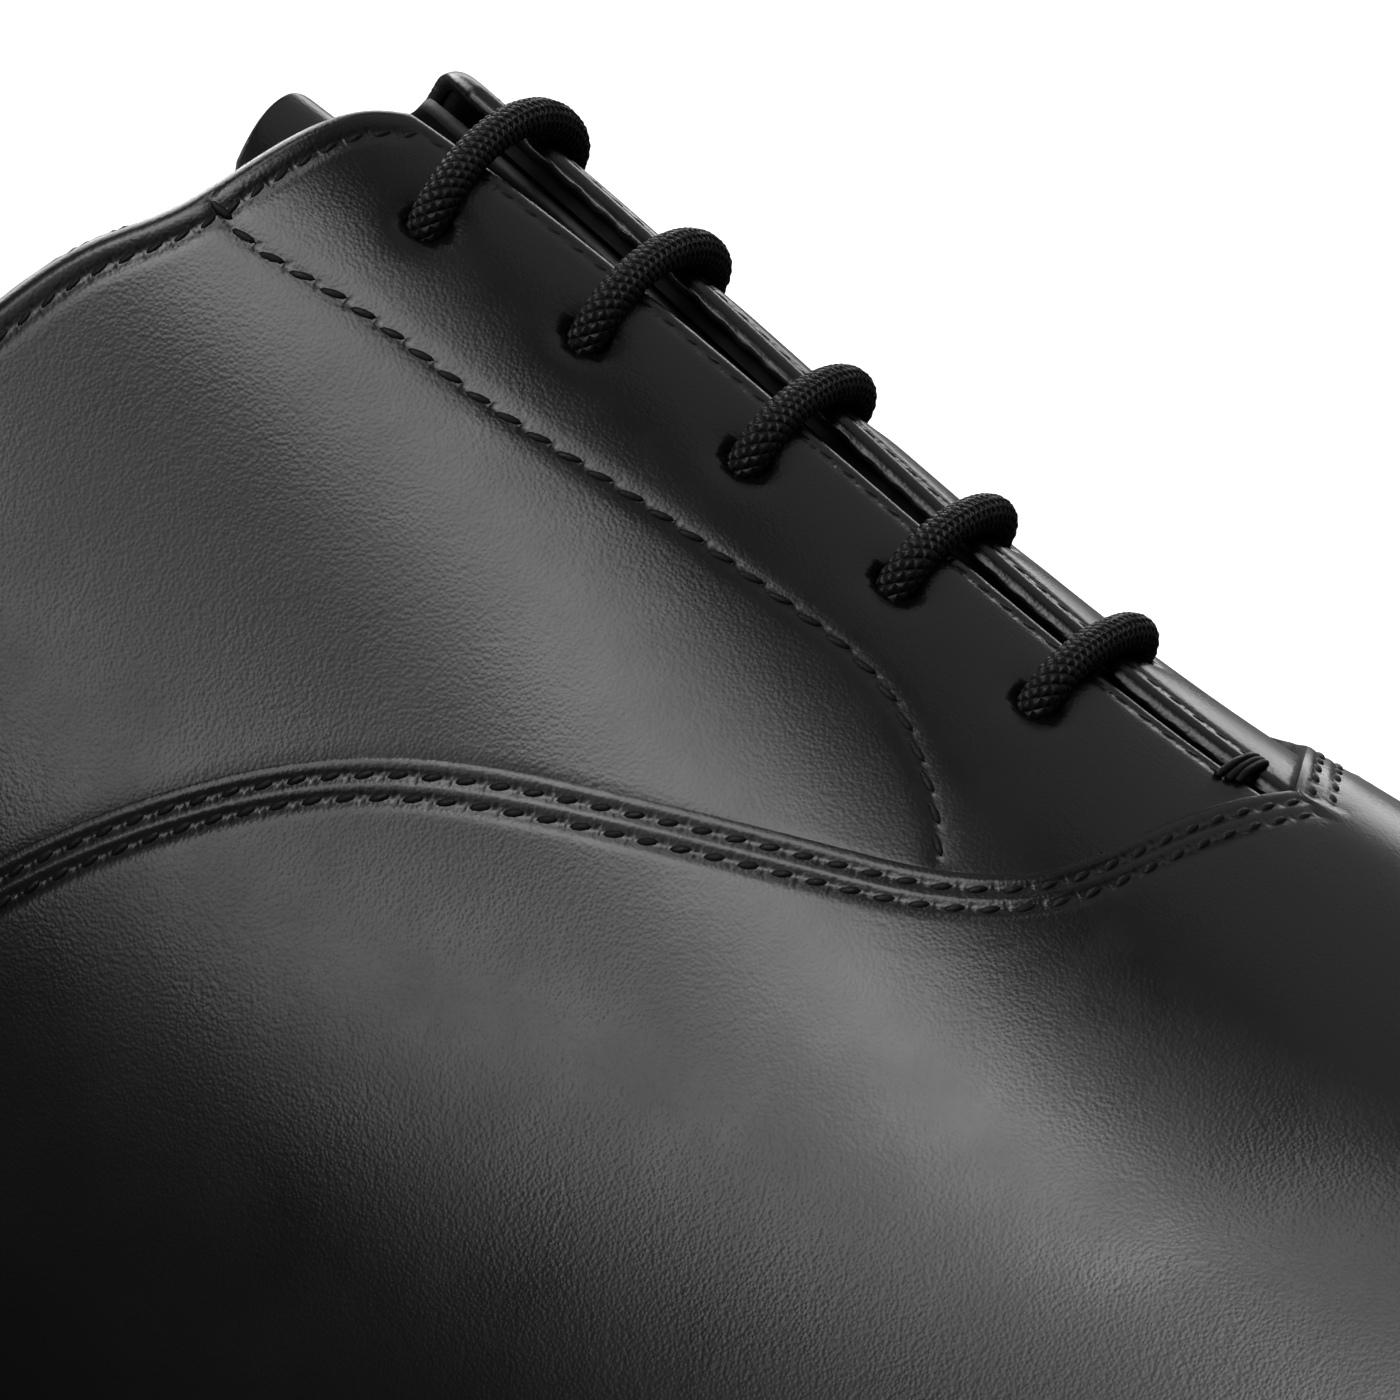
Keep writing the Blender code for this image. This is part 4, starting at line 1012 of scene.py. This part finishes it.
# %% Stacked heel
heel_x = stations(LAST_BACK, HEEL_BREAST, 1.2)
for i, ((bottom, top), spread) in enumerate(zip(HEEL_LEVELS, HEEL_SPREAD)):
    last_one = i == len(HEEL_LEVELS) - 1
    node = "heel_top_piece" if last_one else f"heel_lift_{i + 1}"
    upper = level(OUTSOLE[1] - .15) if i == 0 else constant(top + GROUND)
    plate(node + "_shaped", heel_x, constant(spread), upper, constant(bottom + GROUND),
          .45, [rubber if last_one else sole_edge], [node])


# %% Welt and heel rand
def strip_piece(name, x, order, inner, outer, top, bottom, materials, slot, stands_for):
    """A strip round the outline: a rounded profile bent along both sides, joined at the end."""
    turn = np.linspace(0, math.pi / 2, 5)
    radius = .7
    profile = [(inner, top, 0)]
    profile += [(-radius * (1 - math.sin(a)), top - radius * (1 - math.cos(a)), 1) for a in turn]
    profile += [(-radius * (1 - math.cos(a)), bottom + radius * (1 - math.sin(a)), 1) for a in turn]
    profile += [(inner, bottom, 0), (inner, top, 0)]
    halves = []
    for side in order:
        rows = []
        for reach, drop, outside in profile:
            spread = outer(x) + reach if outside else np.full(x.shape, reach)
            rows.append(feather(x, side, spread, drop))
        halves.append(np.stack(rows, 1))
    places = np.concatenate([halves[0], halves[1][::-1]], 0)
    bm = closed_grid(places)
    return new_piece(name, bm, materials, stands_for, merge=.01)


welt_x = stations(HEEL_BREAST + 9, LAST_TOE, 1.2)
strip_piece("welt_strip", welt_x, (LATERAL, MEDIAL), STRIP_INNER, lambda x: sole_spread(x) - .25, *WELT,
            [welt_leather], "welt_leather", ["welt"])
rand_x = stations(LAST_BACK, HEEL_BREAST + 8.7, 1.2)[::-1]
strip_piece("heel_rand_strip", rand_x, (MEDIAL, LATERAL), STRIP_INNER, lambda x: sole_spread(x) + .2, *WELT,
            [welt_leather], "welt_leather", ["heel_rand"])

# %% [markdown]
# ## Threads
# One bead of thread is a small squashed ball, turned a little across the line as a lock
# stitch is. Every seam is a row of them, joined as one piece.


# %% Rows of stitches
def stitch_row(bm, line, side, off, pitch, length, width, turn=14.0):
    """Beads of thread along a line on the last."""
    places, reach, count = paced(line, side, pitch)
    at = (np.arange(count) + .5) * reach[-1] / count
    at_x, at_v = (np.interp(at, reach, values) for values in line)
    centres, outs = on_last(at_x, at_v, side, off), normal(at_x, at_v, side)
    ahead = np.stack([np.interp(at + .3, reach, places[:, i]) - np.interp(at - .3, reach, places[:, i])
                      for i in range(3)], -1)
    for centre, out, along in zip(centres, outs, ahead):
        out, along = Vector(out), Vector(along)
        along = (along - out * along.dot(out)).normalized()
        along = Matrix.Rotation(math.radians(turn), 3, out) @ along
        frame_axes = Matrix((along, out.cross(along), out)).transposed().to_4x4()
        size = Matrix.Diagonal((length / 2, width / 2, width / 2 * .8, 1))
        bmesh.ops.create_uvsphere(bm, u_segments=8, v_segments=5, radius=1,
                                  matrix=Matrix.Translation(Vector(centre)) @ frame_axes @ size)


def seam(name, rows):
    bm = bmesh.new()
    for line, side, off, pitch, length, width in rows:
        stitch_row(bm, line, side, off, pitch, length, width)
    return new_piece(name, bm, [thread], merge=0)


LAPPED_THREAD = (UPPER_FACE - .3, VAMP_PITCH, 1.7, .72)     # height, pitch, bead length and width
FACING_THREAD = (FACE - .2, FACING_PITCH, 2.2, .68)
RIM_THREAD = (FACE - .22, EDGE_PITCH, 1.5, .5)
for side, word in SIDES:
    seam("vamp_stitching_" + word, [(row, side, *LAPPED_THREAD) for row in vamp_rows[side]])
    seam("facing_stitching_" + word, [(facing_rows[side], side, *FACING_THREAD)])
    seam("rim_stitching_" + word, [(rim_rows[side], side, *RIM_THREAD)])
seam("cap_stitching", [(row, side, *LAPPED_THREAD) for side, _ in SIDES for row in cap_rows[side]])

# %% Welt stitching
WELT_PITCH, WELT_BEAD = 3.1, (1.2, .42, .34, 1)
welt_bm = bmesh.new()
for side, word in SIDES:
    x = stations(HEEL_BREAST + 11, LAST_TOE, .6)
    line = feather(x, side, sole_spread(x) - 2.2, WELT[0] + .05)
    reach = reach_along(line)

    def along_welt(distance):
        return Vector(np.interp(distance, reach, line[:, i]) for i in range(3))

    for at in np.arange(1.5, reach[-1] - .5, WELT_PITCH):
        turned = (along_welt(at + .4) - along_welt(at - .4)).to_track_quat("X", "Z").to_matrix().to_4x4()
        place = Matrix.Translation(along_welt(at)) @ turned @ Matrix.Diagonal(WELT_BEAD)
        bmesh.ops.create_uvsphere(welt_bm, u_segments=8, v_segments=5, radius=1, matrix=place)
new_piece("welt_stitching", welt_bm, [thread], merge=0)

# %% [markdown]
# ## The lace
# The lace is a round braided cotton cord, lightly waxed. It is laced in straight bars. Each
# bar comes up through a punched hole, crosses the gap and goes down through the hole
# opposite. The strands of the braid stand up as real diamonds on the cord's surface, so the
# cord is a tube whose radius follows the braid.

# %% Sizes of the lace
LACE_RADIUS = 1.35
OVER, UNDER = 5.1, -2.25
LANE = .042
CORD_GAP = 0.35
DIAMOND_LENGTH, STRANDS_ROUND = .72, 14
TAIL_PITCH = 6.5
TAIL_EXIT = ((131.0, .860), (124.0, .815), (119.5, .760), (117.0, .700))
TAIL_WALL = ((115.5, .62, -2.0), (114.0, .50, -2.4), (112.5, .37, -3.0), (110.0, .24, -4.0),
             (106.0, .12, -6.0))
TAIL_FLOOR = {
    LATERAL: ((98, -22), (85, -19), (70, -19), (55, -21), (40, -22), (29, -18.5), (24, -11.5), (29, -5),
              (41, -4.5), (56, -8), (70, -7), (84, -4.5), (97, -5)),
    MEDIAL: ((98, 17), (85, 16), (70, 18), (56, 20), (43, 19), (35, 12.5), (41, 6), (54, 5), (68, 6.5),
             (82, 6.5), (95, 4.5), (107, 4.5)),
}
AGLET_LENGTH, AGLET_RADIUS = 20.0, 1.3


# %% Routes
def smooth_route(points, pitch):
    """Evenly spaced points along a smooth curve through given ones."""
    points = np.array(points, float)
    reach = reach_along(points)
    axes = [curve_through(list(zip(reach, points[:, i]))) for i in range(3)]
    at = np.linspace(0, reach[-1], max(round(reach[-1] / pitch), 2) + 1)
    return np.stack([axis(at) for axis in axes], -1)


def eyelet(row, side, off, shift=0.0):
    return on_last(EYELET_STATIONS[row - 1], EYELET_SHARES[row - 1] + shift, side, off)


def bar(row, start):
    """The lace from the inside of one eyelet, over the facings, into the one opposite."""
    hole = [(-1.6, 0), (1.0, 0), (3.0, 0), (4.35, .010), (OVER - .1, .032), (OVER, .065)]
    ridge = 1 - EYELET_SHARES[row - 1]
    up, down = ([eyelet(row, side, off, shift) for off, shift in hole] for side in (start, -start))
    return up + [eyelet(row, start, OVER, ridge)] + down[::-1]


def inner_run(start_row, end_row, side, lane):
    """The lace under the facing from one eyelet to a later one, past the eyelets between."""
    x0, x1 = EYELET_STATIONS[start_row - 1], EYELET_STATIONS[end_row - 1]
    v0, v1 = EYELET_SHARES[start_row - 1], EYELET_SHARES[end_row - 1]
    return [on_last(x0 + (x1 - x0) * share, v0 + (v1 - v0) * share + lane * math.sin(math.pi * share) ** .6,
                        side, UNDER) for share in (.2, .35, .5, .65, .8)]


lace_route = [on_last(x, v, LATERAL, UNDER) for x, v in reversed(TAIL_EXIT)]
lace_route += bar(2, LATERAL) + inner_run(2, 4, MEDIAL, LANE) + bar(4, MEDIAL)
lace_route += inner_run(4, 5, LATERAL, 0.0) + bar(5, LATERAL) + inner_run(5, 3, MEDIAL, -LANE)
lace_route += bar(3, MEDIAL) + inner_run(3, 1, LATERAL, LANE) + bar(1, LATERAL)
lace_route += [on_last(x, v, MEDIAL, UNDER) for x, v in TAIL_EXIT[1:]]


# %% A tube that follows a route
def tube_places(route, radius_at, around):
    """Rings of places along a route, carried without twist; radius_at(reach, turn) gives the radius."""
    reach = reach_along(route)
    along = np.gradient(route, axis=0)
    along /= np.linalg.norm(along, axis=-1, keepdims=True)
    across = np.zeros_like(route)
    side_way = np.cross(along[0], (0, 0, 1))
    for i, ahead in enumerate(along):
        side_way = side_way - ahead * (side_way @ ahead)
        side_way /= np.linalg.norm(side_way)
        across[i] = side_way
    upward = np.cross(along, across)
    turn = np.linspace(0, 1, around + 1)
    angle = 2 * math.pi * turn
    ring = across[:, None] * np.cos(angle)[None, :, None] + upward[:, None] * np.sin(angle)[None, :, None]
    radius = radius_at(reach[:, None], turn[None, :])
    uv = np.stack(np.broadcast_arrays(reach[:, None] / DIAMOND_LENGTH, turn[None, :]), -1)
    return route[:, None] + ring * radius[..., None], uv


def cord_bm(route, radius_at, around):
    places, uv = tube_places(route, radius_at, around)
    bm = bmesh.new()
    bend_grid(bm, places, flip=True, uv=uv)
    bmesh.ops.remove_doubles(bm, verts=bm.verts[:], dist=.002)
    bmesh.ops.holes_fill(bm, edges=[edge for edge in bm.edges if edge.is_boundary], sides=0)
    return bm


def braided_radius(reach, turn):
    """Two sets of strands crossing: raised on the diamonds, low in the crossings between."""
    a = np.abs(np.sin(math.pi * (reach / DIAMOND_LENGTH + turn * STRANDS_ROUND / 2)))
    b = np.abs(np.sin(math.pi * (reach / DIAMOND_LENGTH - turn * STRANDS_ROUND / 2)))
    return LACE_RADIUS - .17 + .17 * np.minimum(a, b) ** .7


def plain_radius(radius):
    return lambda reach, turn: radius + 0 * reach + 0 * turn


def tip_radius(reach, turn):
    """A lace tip: crimped near its start and rounded at its end."""
    return AGLET_RADIUS - .12 * np.exp(-((reach - 3) / .6) ** 2) + 0 * turn - .35 * smooth((reach - 18.6) / 1.4)


# %% Lace, tails and aglets
lace_line = smooth_route(lace_route, .17)
lace_bm = cord_bm(lace_line, braided_radius, 42)
new_piece("lace_cord", lace_bm, [waxed_cotton], ["lace"], merge=0)
for side, word in SIDES:
    x, v = TAIL_EXIT[-1]
    before, start = on_last(*TAIL_EXIT[-2], side, UNDER), on_last(x, v, side, UNDER)
    exit_place = start + (start - before) / np.linalg.norm(start - before) * CORD_GAP
    rest = SOCK[0] + LACE_RADIUS + 2 * CORD_GAP
    route = [exit_place] + [on_last(x, v, side, off) for x, v, off in TAIL_WALL]
    route += [np.array((x, y, feather_height(x) + rest)) for x, y in TAIL_FLOOR[side]]
    coarse = smooth_route(route, TAIL_PITCH)
    line = smooth_route(coarse, .8)
    tail = new_piece("lace_end_" + word, cord_bm(line, plain_radius(LACE_RADIUS), 18), [waxed_cotton],
                     ["lace_tail_" + word], merge=0)
    ahead = (coarse[-1] - coarse[-2]) / np.linalg.norm(coarse[-1] - coarse[-2])
    tip = coarse[-1] + ahead * CORD_GAP
    tip_line = tip + ahead * np.linspace(0, AGLET_LENGTH, 41)[:, None]
    aglet = new_piece("lace_tip_" + word, cord_bm(tip_line, tip_radius, 24), [tip_plastic],
                      ["aglet_" + word], merge=0)
    path = (line + SHIFT) * MM

# %% Bar tack
TACK_STATION, TACK_SHIFTS = 184.0, (-.5, .1, .6)
TACK_RADIUS, TACK_HEIGHT, TACK_ARCH = .3, 3.9, .35
tack_bm = bmesh.new()
for i, shift in enumerate(TACK_SHIFTS):
    shares = [(.972 + .004 * i, LATERAL), (.986, LATERAL), (1.0, LATERAL), (.986, MEDIAL), (.974, MEDIAL)]
    heights = [TACK_HEIGHT + TACK_ARCH * math.sin(math.pi * k / 4) for k in range(5)]
    route = [on_last(TACK_STATION + shift * (1 - .1 * k), v, side, heights[k])
             for k, (v, side) in enumerate(shares)]
    strand = cord_bm(smooth_route(route, .25), plain_radius(TACK_RADIUS), 8)
    joined = bpy.data.meshes.new("strand")
    strand.to_mesh(joined)
    strand.free()
    tack_bm.from_mesh(joined)
    bpy.data.meshes.remove(joined)
new_piece("throat_bar_tack", tack_bm, [thread], ["bar_tack"], merge=0)

# %% [markdown]
# ## The hidden parts
# Inside the walls and the bottom sit the stiffeners, the insole, cork, shank and nails. Their
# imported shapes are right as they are, so they only take their finish.

# %% Finishes of the hidden parts
hidden = {"toe_puff": fibre, "heel_counter": fibre, "insole": insole_leather, "insole_rib": insole_leather,
          "facing_stay_lateral": stay_tape, "facing_stay_medial": stay_tape, "cork_filler": cork, "shank": steel}
hidden |= {f"heel_nail_{i + 1}": steel for i in range(5)}
for node, material in hidden.items():
    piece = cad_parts[node]
    for slot in piece.material_slots:
        slot.material = material
    if not piece.material_slots:
        piece.data.materials.append(material)
print(len(hidden), "packed parts keep their shape")
